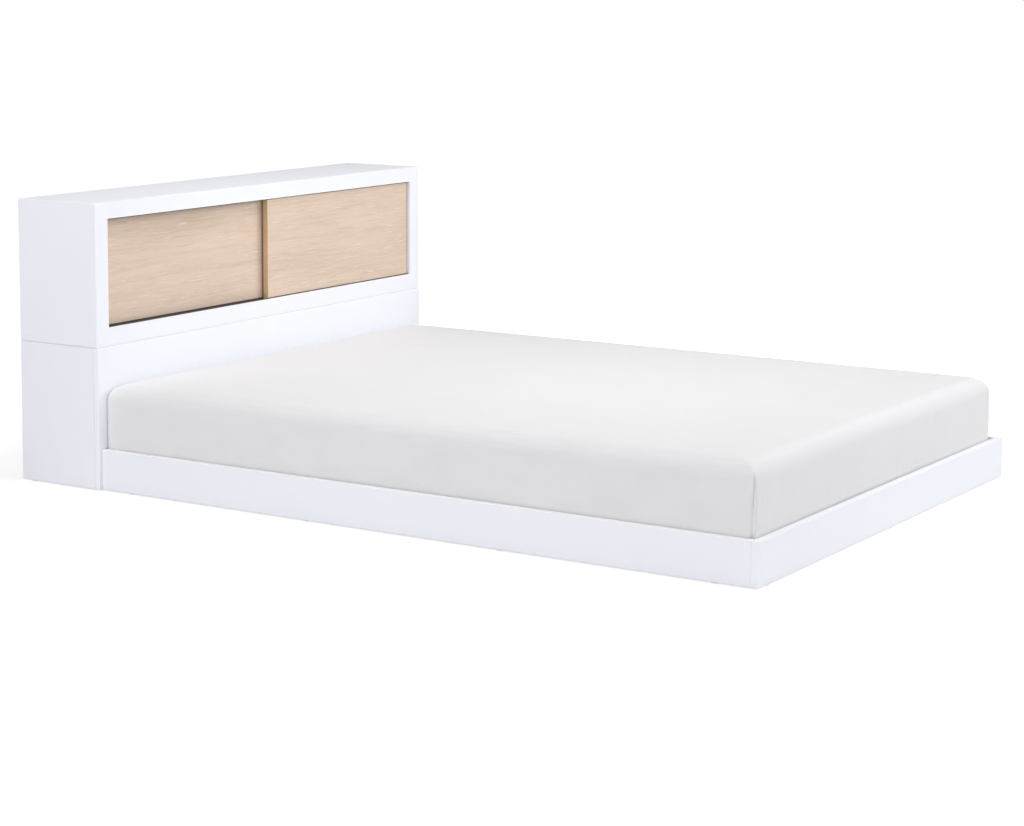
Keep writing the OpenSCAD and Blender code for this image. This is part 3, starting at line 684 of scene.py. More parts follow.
def make_plastic(name, colour, wear_and_highlight, rough, grain_size, grain_depth, lines=None):
    """lines are the counts of the lines of a drawn plastic along each axis."""
    plastic = finish_named(name)
    spot = object_spot(plastic)
    cells = plastic.add("TexVoronoi", {"Vector": spot, "Scale": 1 / grain_size})
    grain = relief(plastic, cells.outputs["Distance"], grain_depth)
    dust = spread(plastic, noise(plastic, spot, DUST_COUNT, detail=4, roughness=0.6), 0.50, 0.72)
    edge = times(plastic, edge_share(plastic, PLASTIC_EDGE_WIDTH), PLASTIC_EDGE_WEAR)
    share = plus(plastic, times(plastic, dust, DUST_SHARE), edge)
    base = tint(plastic, share, colour, wear_and_highlight)
    if lines:
        line = noise(plastic, object_spot(plastic, lines), 1.0)
        grain = relief(plastic, line, grain_depth, grain)
        pale_line = spread(plastic, line, 0.55, 0.75, to_high=LINE_SHARE)
        base = tint(plastic, pale_line, base, wear_and_highlight)
    gloss = plus(plastic, rough, times(plastic, dust, DUST_DULLS))
    plastic.fill(plastic.shader, {"Base Color": base, "Roughness": gloss, "Normal": grain})
    return plastic.block


print("recipe: make_plastic")

# %% Plastics and rubber
dark_track = make_plastic(
    "dark_track",
    colour=(0.030, 0.021, 0.019, 1),
    wear_and_highlight=(0.075, 0.060, 0.056, 1),
    rough=0.55,
    grain_size=0.6 * MM,
    grain_depth=0.02 * MM,
    lines=(2, 1400, 1400),
)
nylon = make_plastic(
    "nylon",
    colour=(0.85, 0.83, 0.78, 1),
    wear_and_highlight=(0.72, 0.69, 0.62, 1),
    rough=0.38,
    grain_size=1.2 * MM,
    grain_depth=0.02 * MM,
    lines=(8, 500, 500),
)
black_plastic = make_plastic(
    "black_plastic",
    colour=(0.045, 0.045, 0.047, 1),
    wear_and_highlight=(0.13, 0.13, 0.13, 1),
    rough=0.50,
    grain_size=0.9 * MM,
    grain_depth=0.06 * MM,
)
rubber = make_plastic(
    "rubber",
    colour=(0.070, 0.070, 0.070, 1),
    wear_and_highlight=(0.15, 0.145, 0.14, 1),
    rough=0.78,
    grain_size=0.7 * MM,
    grain_depth=0.03 * MM,
)
print("finishes: dark_track, nylon, black_plastic, rubber")

# %% [markdown]
# Zinc-plated steel
#
# Screws, bolts and brackets are plated with zinc. The plating is bright but not polished: it has
# a cloudy, slightly blue and yellow sheen, and fine scratches where a tool or a board rubbed it.
# A mirror with one roughness would look like chrome, so the roughness changes with the clouds.

# %% Zinc-plated steel
ZINC_BLUE, ZINC_YELLOW = (0.62, 0.63, 0.66, 1), (0.66, 0.63, 0.54, 1)
ZINC_RUBBED = (0.78, 0.78, 0.78, 1)
ZINC_CLOUD_COUNT, ZINC_GRAIN_COUNT, ZINC_GRAIN_DEPTH = 90, 1500, 0.01 * MM
ZINC_EDGE_WIDTH, ZINC_EDGE_WEAR = 0.8 * MM, 0.5
SCRATCH_COUNTS, SCRATCH_TURN, SCRATCH_DULLS = (40, 900, 900), (20, 30, 50), 0.12
ZINC_GLOSS = (0.30, 0.44)

zinc = finish_named("zinc_steel")
spot = object_spot(zinc)
cloud = clouds(zinc, spot, ZINC_CLOUD_COUNT, detail=4, roughness=0.6)
rubbed = times(zinc, edge_share(zinc, ZINC_EDGE_WIDTH), ZINC_EDGE_WEAR)
base = tint(zinc, rubbed, tint(zinc, cloud, ZINC_BLUE, ZINC_YELLOW), ZINC_RUBBED)
scratch = noise(zinc, object_spot(zinc, SCRATCH_COUNTS, SCRATCH_TURN), 1.0)
scratch = times(zinc, spread(zinc, scratch, 0.6, 0.7), SCRATCH_DULLS)
rough = plus(zinc, spread(zinc, cloud, 0, 1, *ZINC_GLOSS), scratch)
grain = relief(zinc, noise(zinc, spot, ZINC_GRAIN_COUNT), ZINC_GRAIN_DEPTH)
zinc.fill(zinc.shader, {"Base Color": base, "Roughness": rough, "Normal": grain})
zinc.shader.inputs["Metallic"].default_value = 1.0
zinc_steel = zinc.block
print("finish: zinc_steel")

# %% [markdown]
# Cloth
#
# Cloth is threads that cross, far too many to model. A wave along X, one along Y and one along Z
# give them on every side of the mattress at once, with no need to unwrap it: on the top the wave
# along Z stands still, so the X and Y threads show, and on a side the upright threads cross the
# level ones. No thread is perfectly even, so a stretched noise makes some of them thicker. Cotton
# also has a faint bloom at its rim, which is the shader's sheen.

# %% Threads
WAVE_OF_SCALE = math.tau / 20
THREAD_TURNS = ((0, 0, 0), (0, 0, -90), (0, 90, 0))
SLUB_COUNTS = (420, 9, 9)


def threads(cloth, pitch, rib):
    """The height of the threads along X, Y and Z, and the uneven thickness of each."""
    height, slub = None, None
    for turn, share in zip(THREAD_TURNS, rib):
        wave = cloth.add(
            "TexWave",
            {"Vector": object_spot(cloth, turn=turn), "Scale": WAVE_OF_SCALE / pitch},
            wave_type="BANDS",
            bands_direction="X",
            wave_profile="SIN",
        )
        wave = times(cloth, wave.outputs["Fac"], share)
        height = wave if height is None else plus(cloth, height, wave)
        thick = noise(cloth, object_spot(cloth, SLUB_COUNTS, turn), 1.0)
        slub = thick if slub is None else plus(cloth, slub, thick)
    return height, slub


print("helper: threads")

# %% Cloth recipe
CLOTH_SPECULAR = 0.2
SHEEN_ROUGHNESS = 0.4
CLOTH_CLOUD_COUNT, CLOTH_CLOUD_SHARE, SLUB_SHARE = 5, 0.3, 0.7
SLUB_RELIEF, SLUB_DULLS = 1.5, 0.06


def make_cloth(name, colour, shade, pitch, depth, rough, sheen, rib=(1, 1, 1)):
    """pitch is from thread to thread, depth their relief, rib their strength along each axis."""
    cloth = finish_named(name, CLOTH_SPECULAR)
    height, slub = threads(cloth, pitch, rib)
    cloud = clouds(cloth, object_spot(cloth), CLOTH_CLOUD_COUNT, detail=3)
    thick = spread(cloth, slub, 1.3, 1.8, to_high=SLUB_SHARE)
    share = plus(cloth, thick, times(cloth, cloud, CLOTH_CLOUD_SHARE))
    base = tint(cloth, share, colour, shade)
    weave = relief(cloth, slub, depth * SLUB_RELIEF, relief(cloth, height, depth))
    gloss = spread(cloth, slub, 1.2, 1.9, rough - SLUB_DULLS, rough + SLUB_DULLS)
    cloth.fill(cloth.shader, {"Base Color": base, "Roughness": gloss, "Normal": weave})
    cloth.shader.inputs["Sheen Weight"].default_value = sheen
    cloth.shader.inputs["Sheen Roughness"].default_value = SHEEN_ROUGHNESS
    return cloth.block


print("recipe: make_cloth")

# %% Sheet cotton and ticking
sheet_cotton = make_cloth(
    "sheet_cotton",
    colour=(0.773, 0.773, 0.782, 1),
    shade=(0.748, 0.748, 0.759, 1),
    pitch=0.45 * MM,
    depth=0.03 * MM,
    rough=0.84,
    sheen=0.10,
)
ticking = make_cloth(
    "ticking",
    colour=(0.80, 0.80, 0.79, 1),
    shade=(0.72, 0.72, 0.71, 1),
    pitch=2.4 * MM,
    depth=0.35 * MM,
    rough=0.88,
    sheen=0.15,
    rib=(1, 0.6, 1),
)
print("finishes: sheet_cotton, ticking")

# %% [markdown]
# Finishes on the boards and fittings
#
# Each solid keeps its shape. Its finish could be picked by hand, but the record already names a
# slot for each solid, so a table of slots does it. Wood needs one more choice, because its grain
# has to run along the piece: across the bed in the slats, and along the bed in the ledges and the
# centre beam. The boards with painted light on some sides have finishes of their own too.

# %% Finishes on the boards and fittings
finish_of_slot = {
    "white_lacquer": white_lacquer,
    "back_board": back_board,
    "oak_veneer": oak_veneer,
    "pine": pine_across,
    "beech": beech,
    "dark_track": dark_track,
    "nylon": nylon,
    "black_plastic": black_plastic,
    "rubber": rubber,
    "steel": zinc_steel,
    "ticking": ticking,
    "sheet_cotton": sheet_cotton,
}
finish_of_node = {
    "ledge_left": pine_along,
    "ledge_right": pine_along,
    "centre_beam": pine_along,
    "side_rail_left": side_rail_lacquer,
    "side_rail_right": side_rail_lacquer,
    "foot_rail": foot_rail_lacquer,
    "base_front_panel": front_panel_lacquer,
}

for part in frame["record"]["subparts"]:
    node = part["node"]
    board = frame["nodes"][node]
    board.data.materials.clear()
    board.data.materials.append(finish_of_node.get(node, finish_of_slot[part["material_slot"]]))

# %% [markdown]
# Fillet in the shadow gap
#
# The hutch stands on the lower cabinet with a gap of 2 mm between their faces, so that the joint
# reads as one straight line even if the boards aren't quite true. A gap that is open right through
# looks black and catches dust. So joiners close it just behind the faces with a thin lacquered
# fillet with round edges, at the front and along both sides. It could be one strip that is bent
# round the corners. A joiner cuts three straight lengths, and so they are made here: each is a
# block that is stretched to its size, and its edges are bevelled.

# %% One length of the fillet
FILLET_ROUND = 0.5 * MM


def place_cube(made, low, high):
    """A block from low to high in this bmesh."""
    verts = bmesh.ops.create_cube(made, size=1.0)["verts"]
    bmesh.ops.scale(made, vec=high - low, verts=verts)
    bmesh.ops.translate(made, vec=(low + high) / 2, verts=verts)
    return verts


def fillet_run(made, low, high):
    """One straight length of the fillet, with its edges rounded."""
    verts = place_cube(made, low, high)
    bmesh.ops.bevel(
        made,
        geom=list(dict.fromkeys(edge for vert in verts for edge in vert.link_edges)),
        offset=FILLET_ROUND,
        segments=3,
        profile=0.5,
        affect="EDGES",
        material=-1,
    )


print("helpers: place_cube, fillet_run")

# %% Fillet in the shadow gap
SIDE_SET_BACK, FRONT_SET_BACK = 3.2 * MM, 2.5 * MM
FILLET_WIDTH = 9 * MM
FILLET_PLAY = 0.05 * MM

hutch_low, hutch_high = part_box("hutch_bottom")
low_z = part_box("base_side_left")[1].z + FILLET_PLAY
high_z = hutch_low.z - FILLET_PLAY
left, right = hutch_low.x + SIDE_SET_BACK, hutch_high.x - SIDE_SET_BACK
front, back = hutch_low.y + FRONT_SET_BACK, hutch_high.y - SIDE_SET_BACK

fillet_block = bmesh.new()
front_high = Vector((right, front + FILLET_WIDTH, high_z))
fillet_run(fillet_block, Vector((left, front, low_z)), front_high)
for start in (left, right - FILLET_WIDTH):
    run_low = Vector((start, front + FILLET_WIDTH + FILLET_PLAY, low_z))
    fillet_run(fillet_block, run_low, Vector((start + FILLET_WIDTH, back, high_z)))
fillet = object_of("gap_fillet", fillet_block, white_lacquer, smooth=False)
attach(fillet, "bed")
print(f"fillet: {(high_z - low_z) / MM:.1f} mm high, {len(fillet.data.polygons)} faces")

# %% [markdown]
# Mattress
#
# The mattress is a block of springs and foam in a knitted cover. The cover is pulled tight, so its
# edges are round, its long sides draw in a little between the corners, and its top is slightly
# crowned. A Bevel modifier could round a box, but it can't crown the top or draw in the sides. So
# the box is cut by planes, closer together near the edges where it turns, and then each point is
# moved onto the round form.

# %% Mattress sizes
MATTRESS_LOW, MATTRESS_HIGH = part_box("mattress")
CROWN = 3 * MM
TOP_R, BOTTOM_R = 42 * MM, 14 * MM

mattress_middle = (MATTRESS_LOW + MATTRESS_HIGH) / 2
half_width = (MATTRESS_HIGH.x - MATTRESS_LOW.x) / 2
half_length = (MATTRESS_HIGH.y - MATTRESS_LOW.y) / 2
edge_top = MATTRESS_HIGH.z - CROWN
edge_bottom = MATTRESS_LOW.z
print(f"mattress: {2 * half_width:.3f} x {2 * half_length:.3f} x {edge_top - edge_bottom:.3f} m")

# %% Places of the cuts
PANEL_STEP, LEVEL_STEP = 46 * MM, 30 * MM
ARC_STEPS = 6
CORNER_CUTS = (2.6 * MM, 5.2 * MM, 8 * MM)


def arc_cuts(low, high, low_r, high_r, step):
    """Places of the cuts along one axis: close together in the round edges, even between them."""
    share = [math.tan(math.radians(45 * k / ARC_STEPS)) for k in range(ARC_STEPS)]
    near_low = [low + low_r * (1 - s) for s in reversed(share)]
    near_high = [high - high_r * (1 - s) for s in share]
    run = near_high[0] - near_low[-1]
    count = max(1, round(run / step))
    between = [near_low[-1] + run * k / count for k in range(1, count)]
    return near_low + between + near_high


def level_cuts(low, high):
    """Places of the cuts across the bed or along it, with more in the tight upright corners."""
    near_corners = [low + place for place in CORNER_CUTS] + [high - place for place in CORNER_CUTS]
    return arc_cuts(low, high, TOP_R, TOP_R, PANEL_STEP) + near_corners


mattress_cuts = (
    level_cuts(MATTRESS_LOW.x, MATTRESS_HIGH.x),
    level_cuts(MATTRESS_LOW.y, MATTRESS_HIGH.y),
    arc_cuts(edge_bottom, edge_top, BOTTOM_R, TOP_R, LEVEL_STEP),
)
print(f"mattress: {[len(places) for places in mattress_cuts]} cuts across the three axes")

# %% Cut block
CUT_TOLERANCE = 1e-6


def cut_block(low, high, cuts):
    """A box from low to high, cut by planes across each axis."""
    made = bmesh.new()
    place_cube(made, low, high)
    for axis, places in enumerate(cuts):
        direction = Vector([float(axis == k) for k in range(3)])
        for place in places:
            everything = made.verts[:] + made.edges[:] + made.faces[:]
            bmesh.ops.bisect_plane(
                made,
                geom=everything,
                dist=CUT_TOLERANCE,
                plane_co=direction * place,
                plane_no=direction,
            )
    return made


block_high = Vector((MATTRESS_HIGH.x, MATTRESS_HIGH.y, edge_top))
block = cut_block(MATTRESS_LOW, block_high, mattress_cuts)
print(f"mattress block: {len(block.faces)} faces")

# %% [markdown]
# Round form of the mattress
#
# The upper edge turns over in a wide round and the lower edge in a tighter one. The upright corners
# are tight where a sheet pulls on them, and wider where the upper edge turns over. At the head the
# cover is pressed flat against the cabinet, and so its corners are tighter still.

# %% Round form
CORNER_R, HEAD_CORNER_R, CORNER_R_MIN = 8 * MM, 1.5 * MM, 6 * MM
CORNER_WIDENING = 0.6
SIDE_SWELL = 1.5 * MM


def corner_radius(inset, at_head):
    """The plan radius of the corners where the round edge has drawn in by inset."""
    tight = HEAD_CORNER_R if at_head else CORNER_R
    wide = tight + CORNER_WIDENING * inset
    return max(min(wide, TOP_R + SIDE_SWELL - inset), min(tight, CORNER_R_MIN))


def rounded(point):
    """The place of a point of the box on the tightly covered mattress."""
    x, y = point.x - mattress_middle.x, point.y - mattress_middle.y
    deep = min(half_width - abs(x), half_length - abs(y))
    upper = point.z > mattress_middle.z
    level_r, edge = (TOP_R, edge_top) if upper else (BOTTOM_R, edge_bottom)
    rise = max(0.0, level_r - abs(point.z - edge))
    if deep >= level_r:
        return point.copy()
    turn = math.atan2(rise, level_r - max(0.0, deep))
    inset = level_r * (1 - math.cos(turn))
    z = point.z
    if rise > 0:
        z = edge + math.copysign(level_r * (1 - math.sin(turn)), mattress_middle.z - edge)
    a, b = half_width - inset, half_length - inset
    x, y = x * a / (half_width - deep), y * b / (half_length - deep)
    radius = corner_radius(inset, at_head=y > 0)
    near = Vector((min(a - radius, max(radius - a, x)), min(b - radius, max(radius - b, y)), 0))
    out = Vector((x, y, 0)) - near
    if out.length > 0:
        out.normalize()
    place = near + out * radius
    return Vector((mattress_middle.x + place.x, mattress_middle.y + place.y, z))


for vert in block.verts:
    vert.co = rounded(vert.co)
print(f"mattress: corners of {CORNER_R / MM:.0f} mm, upper edge of {TOP_R / MM:.0f} mm")

# %% Crown and draw
SIDE_DRAW = 1.5 * MM
SIDE_FADE, TOP_FADE = 0.9, 0.8


def fade(value, start, end):
    """0 before start, 1 after end, and smooth between them."""
    t = min(1.0, max(0.0, (value - start) / (end - start)))
    return t * t * (3 - 2 * t)


def filled(point):
    """Adds the crown of the top, the draw of the sides and their swell."""
    x = (point.x - mattress_middle.x) / half_width
    y = (point.y - mattress_middle.y) / half_length
    z = (point.z - edge_bottom) / (edge_top - edge_bottom)
    flatness = 1 - (2 * z - 1) ** 2
    slack = SIDE_SWELL * (1 - flatness)
    pull_x = (SIDE_DRAW * (1 - y * y) + slack) * fade(abs(x), SIDE_FADE, 1.0)
    pull_y = (SIDE_DRAW * (1 - x * x) + slack) * fade(abs(y), SIDE_FADE, 1.0)
    lift = CROWN * (1 - x * x) * (1 - y * y) * fade(z, TOP_FADE, 1.0)
    return point + Vector((-math.copysign(pull_x, x), -math.copysign(pull_y, y), lift))


for vert in block.verts:
    vert.co = filled(vert.co)
bmesh.ops.recalc_face_normals(block, faces=block.faces)
print(f"mattress: crown of {CROWN / MM:.0f} mm, sides drawn in by {SIDE_DRAW / MM:.1f} mm")

# %% [markdown]
# Cover under pressure
#
# A form that is made by a rule alone looks too even. In the real mattress the springs push outwards
# and the cover holds them in. That is what a cloth simulation with pressure does, so the cover is
# simulated, with gravity off because the springs carry it. Soft pins stand for the springs: they
# let the cover move a little and then hold it.

# %% Cloth of the cover
SIM_FRAMES = 20
SPRING_PINS = 0.35
COVER_CLOTH = {
    "quality": 5,
    "mass": 0.4,
    "tension_stiffness": 15,
    "compression_stiffness": 15,
    "shear_stiffness": 8,
    "bending_stiffness": 2,
    "use_pressure": True,
    "uniform_pressure_force": 4.0,
    "vertex_group_mass": "springs",
    "pin_stiffness": 1.0,
}


def settle(piece):
    """Writes what the modifiers make into the piece's own mesh, and removes them."""
    bpy.context.view_layer.update()
    evaluated = piece.evaluated_get(bpy.context.evaluated_depsgraph_get())
    mesh = bpy.data.meshes.new_from_object(evaluated)
    mesh.name = piece.data.name
    piece.modifiers.clear()
    piece.data = mesh


def inflate(piece):
    """Lets the cover swell under pressure against the pins that stand for the springs."""
    pins = piece.vertex_groups.new(name="springs")
    pins.add(range(len(piece.data.vertices)), SPRING_PINS, "REPLACE")
    cloth = piece.modifiers.new("cover", "CLOTH")
    for name, value in COVER_CLOTH.items():
        setattr(cloth.settings, name, value)
    cloth.settings.effector_weights.gravity = 0
    cloth.collision_settings.use_collision = False
    cloth.point_cache.frame_start, cloth.point_cache.frame_end = 1, SIM_FRAMES
    for number in range(1, SIM_FRAMES + 1):
        scene.frame_set(number)
    settle(piece)
    scene.frame_set(1)


print(f"cloth of the cover: {SIM_FRAMES} frames")

# %% Simulate the cover
cover = object_of("mattress_cover", block, ticking)
before = [vert.co.copy() for vert in cover.data.vertices]
inflate(cover)
swells = [vert.co - start for vert, start in zip(cover.data.vertices, before)]
print(f"cover: swelled by up to {max(swell.length for swell in swells) / MM:.1f} mm")

# %% [markdown]
# How far a point may move is capped, so that the mattress keeps its size between the rails. Next to
# the rails and the headboard there is almost no room, so there the cover may only move as far as
# the room allows. Above the rails it is free.

# %% Cap the swelling
SWELL_CAP = 3 * MM
TIGHT_ROOM = 0.2 * MM
RAIL_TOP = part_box("foot_rail")[1].z
FREE_FROM, FREE_TO = 10 * MM, 60 * MM
HEAD_FADE = 60 * MM


def room_for(place):
    """How far the cover may bulge sideways at this place."""
    above_rail = fade(place.z, RAIL_TOP + FREE_FROM, RAIL_TOP + FREE_TO)
    head = mattress_middle.y + half_length
    at_head = fade(place.y, head - HEAD_FADE, head)
    return TIGHT_ROOM + (SWELL_CAP - TIGHT_ROOM) * above_rail * (1 - at_head)


def capped(move, place):
    """Brings a move under the cap, its sideways part under the room, without moves in or down."""
    short = move * (SWELL_CAP / (SWELL_CAP + move.length))
    level = Vector((short.x, short.y, 0))
    level *= min(1.0, room_for(place) / max(level.length, 1e-9))
    outward = Vector((place.x - mattress_middle.x, place.y - mattress_middle.y, 0))
    if level.dot(outward) < 0:
        level = Vector((0, 0, 0))
    return Vector((level.x, level.y, max(0.0, short.z) * fade(place.z, edge_bottom, edge_top)))


for vert, start, swell in zip(cover.data.vertices, before, swells):
    vert.co = start + capped(swell, start)
print(f"cover: highest point {max(vert.co.z for vert in cover.data.vertices):.4f} m")

# %% [markdown]
# Corner creases
#
# A fitted sheet is a flat cloth whose four corners are sewn into darts. Each dart makes an upright
# crease down the corner: sharp and narrow where it starts, on the upper edge, and wider and softer
# towards the elastic, which pulls the corner in. No sheet sits the same at all four corners: here
# the one at the foot on the left is pulled tightest. A simulation would crease the cloth where it
# likes, so a rule moves the points instead, and the crease lies where the dart is.

# %% Corner creases
CREASE_TOP = edge_top - 14 * MM
CREASE_REACH, CREASE_FADE = 14 * MM, 0.8
CREASE_SHARE = {(-1, -1): 1.0, (1, -1): 0.12, (-1, 1): 0.05, (1, 1): 0.4}
FOLD_DEPTH, FOLD_WIDTH = 3.2 * MM, 0.9 * MM
FOLD_FULL, FOLD_FADES, FOLD_ENDS = 0.10, 0.35, 0.75
HOLLOW_DEPTH, HOLLOW_ALONG_SIDE, HOLLOW_ALONG_FOOT = 9.0 * MM, 9.5 * MM, 2.4 * MM
HOLLOW_STARTS, HOLLOW_FULL = 0.12, 0.60
DIAGONAL = math.sqrt(0.5)


def edge_inset(z):
    """How far the round upper edge has drawn in from the sides at this height."""
    rise = 1 - min(1.0, max(0.0, (edge_top - z) / TOP_R))
    return TOP_R * (1 - math.sqrt(1 - rise * rise))


def hump(away, width):
    """1 in the middle and falling off to both sides of it."""
    return math.exp(-((away / width) ** 2))


def crease_move(place, wider=0.0):
    """The move that a corner's crease gives to this place: a sharp fold above a hollow that starts
    gently on the long side and ends steeply at the foot, where the cloth of the foot laps over."""
    x, y = place.x - mattress_middle.x, place.y - mattress_middle.y
    reach = CREASE_REACH + edge_inset(place.z)
    beside_x, beside_y = abs(x) - half_width + reach, abs(y) - half_length + reach
    along = (beside_x - beside_y) * DIAGONAL
    depth_in = (beside_x + beside_y) * DIAGONAL
    down = (CREASE_TOP - place.z) / (CREASE_TOP - RAIL_TOP)
    if down <= 0 or depth_in <= 0:
        return Vector((0, 0, 0))
    share = CREASE_SHARE[round(math.copysign(1, x)), round(math.copysign(1, y))]
    fold = share * FOLD_DEPTH * fade(down, 0, FOLD_FULL) * (1 - fade(down, FOLD_FADES, FOLD_ENDS))
    hollow = share * HOLLOW_DEPTH * fade(down, HOLLOW_STARTS, HOLLOW_FULL)
    hollow_width = HOLLOW_ALONG_SIDE if along > 0 else HOLLOW_ALONG_FOOT
    pull = fold * hump(along, FOLD_WIDTH + wider) + hollow * hump(along, hollow_width + wider)
    pull *= fade(depth_in, 0, CREASE_REACH * CREASE_FADE)
    return Vector((-math.copysign(pull, x), -math.copysign(pull, y), 0)) * DIAGONAL


print(f"creases: fold {FOLD_DEPTH / MM:.1f} mm and hollow {HOLLOW_DEPTH / MM:.1f} mm deep")

# %% [markdown]
# The mattress gives way under each crease of the sheet. It could be left as it is, but then the
# sheet would cut into it. So the same crease, a little wider, goes into the mattress, after one
# subdivision has given it enough points.

# %% Finer mattress
MATTRESS_CREASE_WIDER = 2.5 * MM

finer = cover.modifiers.new("finer", "SUBSURF")
finer.levels = finer.render_levels = 1
settle(cover)

mattress = cover.copy()
mattress.data = cover.data.copy()
mattress.name = mattress.data.name = "mattress_block"
scene.collection.objects.link(mattress)
for vert in mattress.data.vertices:
    vert.co += crease_move(vert.co, MATTRESS_CREASE_WIDER)
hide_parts("mattress")
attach(mattress, "bed")
print(f"mattress: {len(mattress.data.polygons)} faces")

# %% [markdown]
# Fitted sheet
#
# The sheet follows the mattress all round. A flat cloth could be dropped over the mattress in a
# simulation, but a tight sheet has no free folds to find. So it starts as a copy of the simulated
# cover, moved out by the thickness of the cloth. At the head it lies close against the cabinet.

# %% Start of the sheet
SHEET_GROWTH = 1.3 * MM
HEAD_PLAY, HEAD_ZONE = 0.5 * MM, 10 * MM

sheet_block = bmesh.new()
sheet_block.from_mesh(cover.data)
sheet_block.normal_update()
for vert in sheet_block.verts:
    vert.co += vert.normal * SHEET_GROWTH
sheet_head = max(vert.co.y for vert in sheet_block.verts)
head_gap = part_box("base_front_panel")[0].y - sheet_head
for vert in sheet_block.verts:
    vert.co.y += (head_gap - HEAD_PLAY) * fade(vert.co.y, sheet_head - HEAD_ZONE, sheet_head)
bpy.data.objects.remove(cover)
print(f"sheet: {head_gap / MM:.2f} mm from the cabinet, closed to {HEAD_PLAY / MM:.2f} mm")

# %% [markdown]
# The corners get more cuts, close together round the crease, because a crease of a few millimetres
# needs points that close. Upright cuts fan out from the axis of the corner, more cuts lie behind
# them, and level cuts make the rows down the crease. The rest of the sheet stays coarse.

# %% Cutting tools
CORNER_ZONE = 52 * MM
UPRIGHT_UNDER = 0.9
ZONE_ABOVE_CREASE = 6 * MM


def cut(piece_block, faces, point, direction):
    """Cuts these faces with a plane, and gives the faces that there are after the cut."""
    near = dict.fromkeys(faces)
    near |= dict.fromkeys(edge for face in faces for edge in face.edges)
    near |= dict.fromkeys(vert for face in faces for vert in face.verts)
    made = bmesh.ops.bisect_plane(
        piece_block,
        geom=list(near),
        dist=CUT_TOLERANCE,
        plane_co=point,
        plane_no=direction,
    )
    return [part for part in made["geom"] if isinstance(part, bmesh.types.BMFace)]


def corner_faces(faces, side_x, side_y):
    """Those of the faces that stand upright within the zone of one corner."""
    found = []
    for face in faces:
        middle = face.calc_center_median()
        x, y = (middle.x - mattress_middle.x) * side_x, (middle.y - mattress_middle.y) * side_y
        in_zone = x > half_width - CORNER_ZONE and y > half_length - CORNER_ZONE
        low_enough = middle.z < CREASE_TOP + ZONE_ABOVE_CREASE
        if in_zone and low_enough and abs(face.normal.z) < UPRIGHT_UNDER:
            found.append(face)
    return found


print(f"corner zones: {CORNER_ZONE / MM:.0f} mm")

# %% Cut the corners
CREASE_TURNS = [0, 3, 7, 12, 18, 26, 35, 45]
CREASE_CUTS = [2.5, 5.5, 9.5, 15.0]
CREASE_ROWS = [-3, 0, 3, 6, 10, 15, 22, 30, 42, 56, 72, 90, 108, 126, 142]

for side_x in (-1, 1):
    for side_y in (-1, 1):
        axis_x = mattress_middle.x + side_x * (half_width - CORNER_R)
        axis_y = mattress_middle.y + side_y * (half_length - CORNER_R)
        axis = Vector((axis_x, axis_y, 0))
        corner = corner_faces(sheet_block.faces, side_x, side_y)
        for turn in sorted({sign * turn for turn in CREASE_TURNS for sign in (-1, 1)}):
            angle = math.atan2(side_y, side_x) + math.radians(turn) + math.pi / 2
            across = Vector((math.cos(angle), math.sin(angle), 0))
            corner = cut(sheet_block, corner, axis, across)
        for place in CREASE_CUTS:
            behind = Vector((side_x, side_y, 0)) * -place * MM
            for direction in (Vector((1, 0, 0)), Vector((0, 1, 0))):
                corner = cut(sheet_block, corner, axis + behind, direction)
        for row in CREASE_ROWS:
            level = Vector((0, 0, CREASE_TOP - row * MM))
            corner = cut(sheet_block, corner, level, Vector((0, 0, 1)))
print(f"sheet: {len(sheet_block.faces)} faces after the corner cuts")

# %% [markdown]
# Hem and gathers
#
# The sheet turns under the mattress by a hem, and inside the hem it is open. An elastic gathers
# the hem, which makes small waves along the lower edge. A ring of elastic could be simulated, but
# waves this small only need points that move out and back. They move outwards only, so that the
# cloth never cuts into the mattress.

# %% Hem
HEM = 70 * MM
FACES_DOWN = -0.99

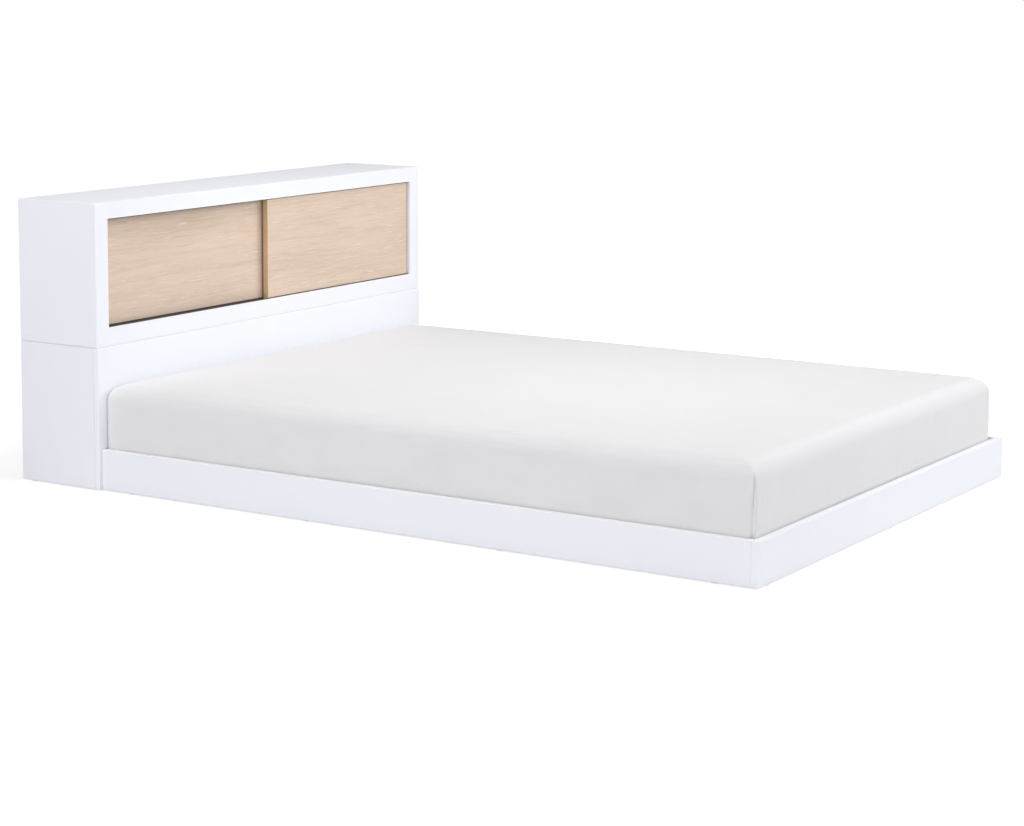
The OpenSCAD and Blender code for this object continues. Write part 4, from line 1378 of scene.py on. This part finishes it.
hem_x, hem_y = half_width - BOTTOM_R - HEM, half_length - BOTTOM_R - HEM
for side in (-1, 1):
    for place, direction in (
        (Vector((mattress_middle.x + side * hem_x, 0, 0)), Vector((1, 0, 0))),
        (Vector((0, mattress_middle.y + side * hem_y, 0)), Vector((0, 1, 0))),
    ):
        under = [face for face in sheet_block.faces if face.normal.z < FACES_DOWN]
        cut(sheet_block, under, place, direction)
opening = []
for face in sheet_block.faces:
    middle = face.calc_center_median() - mattress_middle
    if face.normal.z < FACES_DOWN and abs(middle.x) < hem_x and abs(middle.y) < hem_y:
        opening.append(face)
bmesh.ops.delete(sheet_block, geom=opening, context="FACES")
print(f"hem: {HEM / MM:.0f} mm, {len(opening)} faces opened inside it")

# %% Gathers and creases
GATHER_PITCH, GATHER_HEIGHT = 27 * MM, 2.0 * MM
DRIFT_SIZE, DRIFT_RATE = 1.7, 9.1


def gather_move(place, outward):
    """The small waves that the elastic gathers into the lower edge. Their pitch drifts a little."""
    rise = (place.z - edge_bottom) / BOTTOM_R
    if not 0 < rise < 1:
        return Vector((0, 0, 0))
    x, y = place.x - mattress_middle.x, place.y - mattress_middle.y
    run = x if abs(y) / half_length > abs(x) / half_width else y
    drift = DRIFT_SIZE * math.sin(run * DRIFT_RATE)
    wave = 0.5 + 0.5 * math.cos(math.tau * run / GATHER_PITCH + drift)
    return outward * GATHER_HEIGHT * wave * math.sin(math.pi * rise) ** 2


sheet_block.normal_update()
moves = [crease_move(vert.co) + gather_move(vert.co, vert.normal) for vert in sheet_block.verts]
for vert, move in zip(sheet_block.verts, moves):
    vert.co += move
print(f"sheet: points moved by up to {max(move.length for move in moves) / MM:.1f} mm")

# %% [markdown]
# Area of the cloth
#
# The sheet was cut as a rectangle with a square taken out of each corner, whose sides are then sewn
# together. Its size follows from the way that the cloth takes over the top, round the upper edge,
# down the side, round the lower edge and along the hem. Here the area of the modelled cloth is
# summed.

# %% Area of the cloth
cloth_area = sum(face.calc_area() for face in sheet_block.faces)
print(f"sheet: {cloth_area:.3f} m2 modelled")

# %% [markdown]
# Last, a modifier gives the cloth its thickness. It goes inwards, towards the mattress, so that the
# bed doesn't grow.

# %% Thickness of the sheet
SHEET_THICKNESS = 0.8 * MM

sheet = object_of("fitted_sheet_cloth", sheet_block, sheet_cotton)
wall = sheet.modifiers.new("thickness", "SOLIDIFY")
wall.thickness, wall.offset = SHEET_THICKNESS, -1
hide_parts("fitted_sheet")
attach(sheet, "bed")
print(f"sheet: {SHEET_THICKNESS / MM:.1f} mm thick")
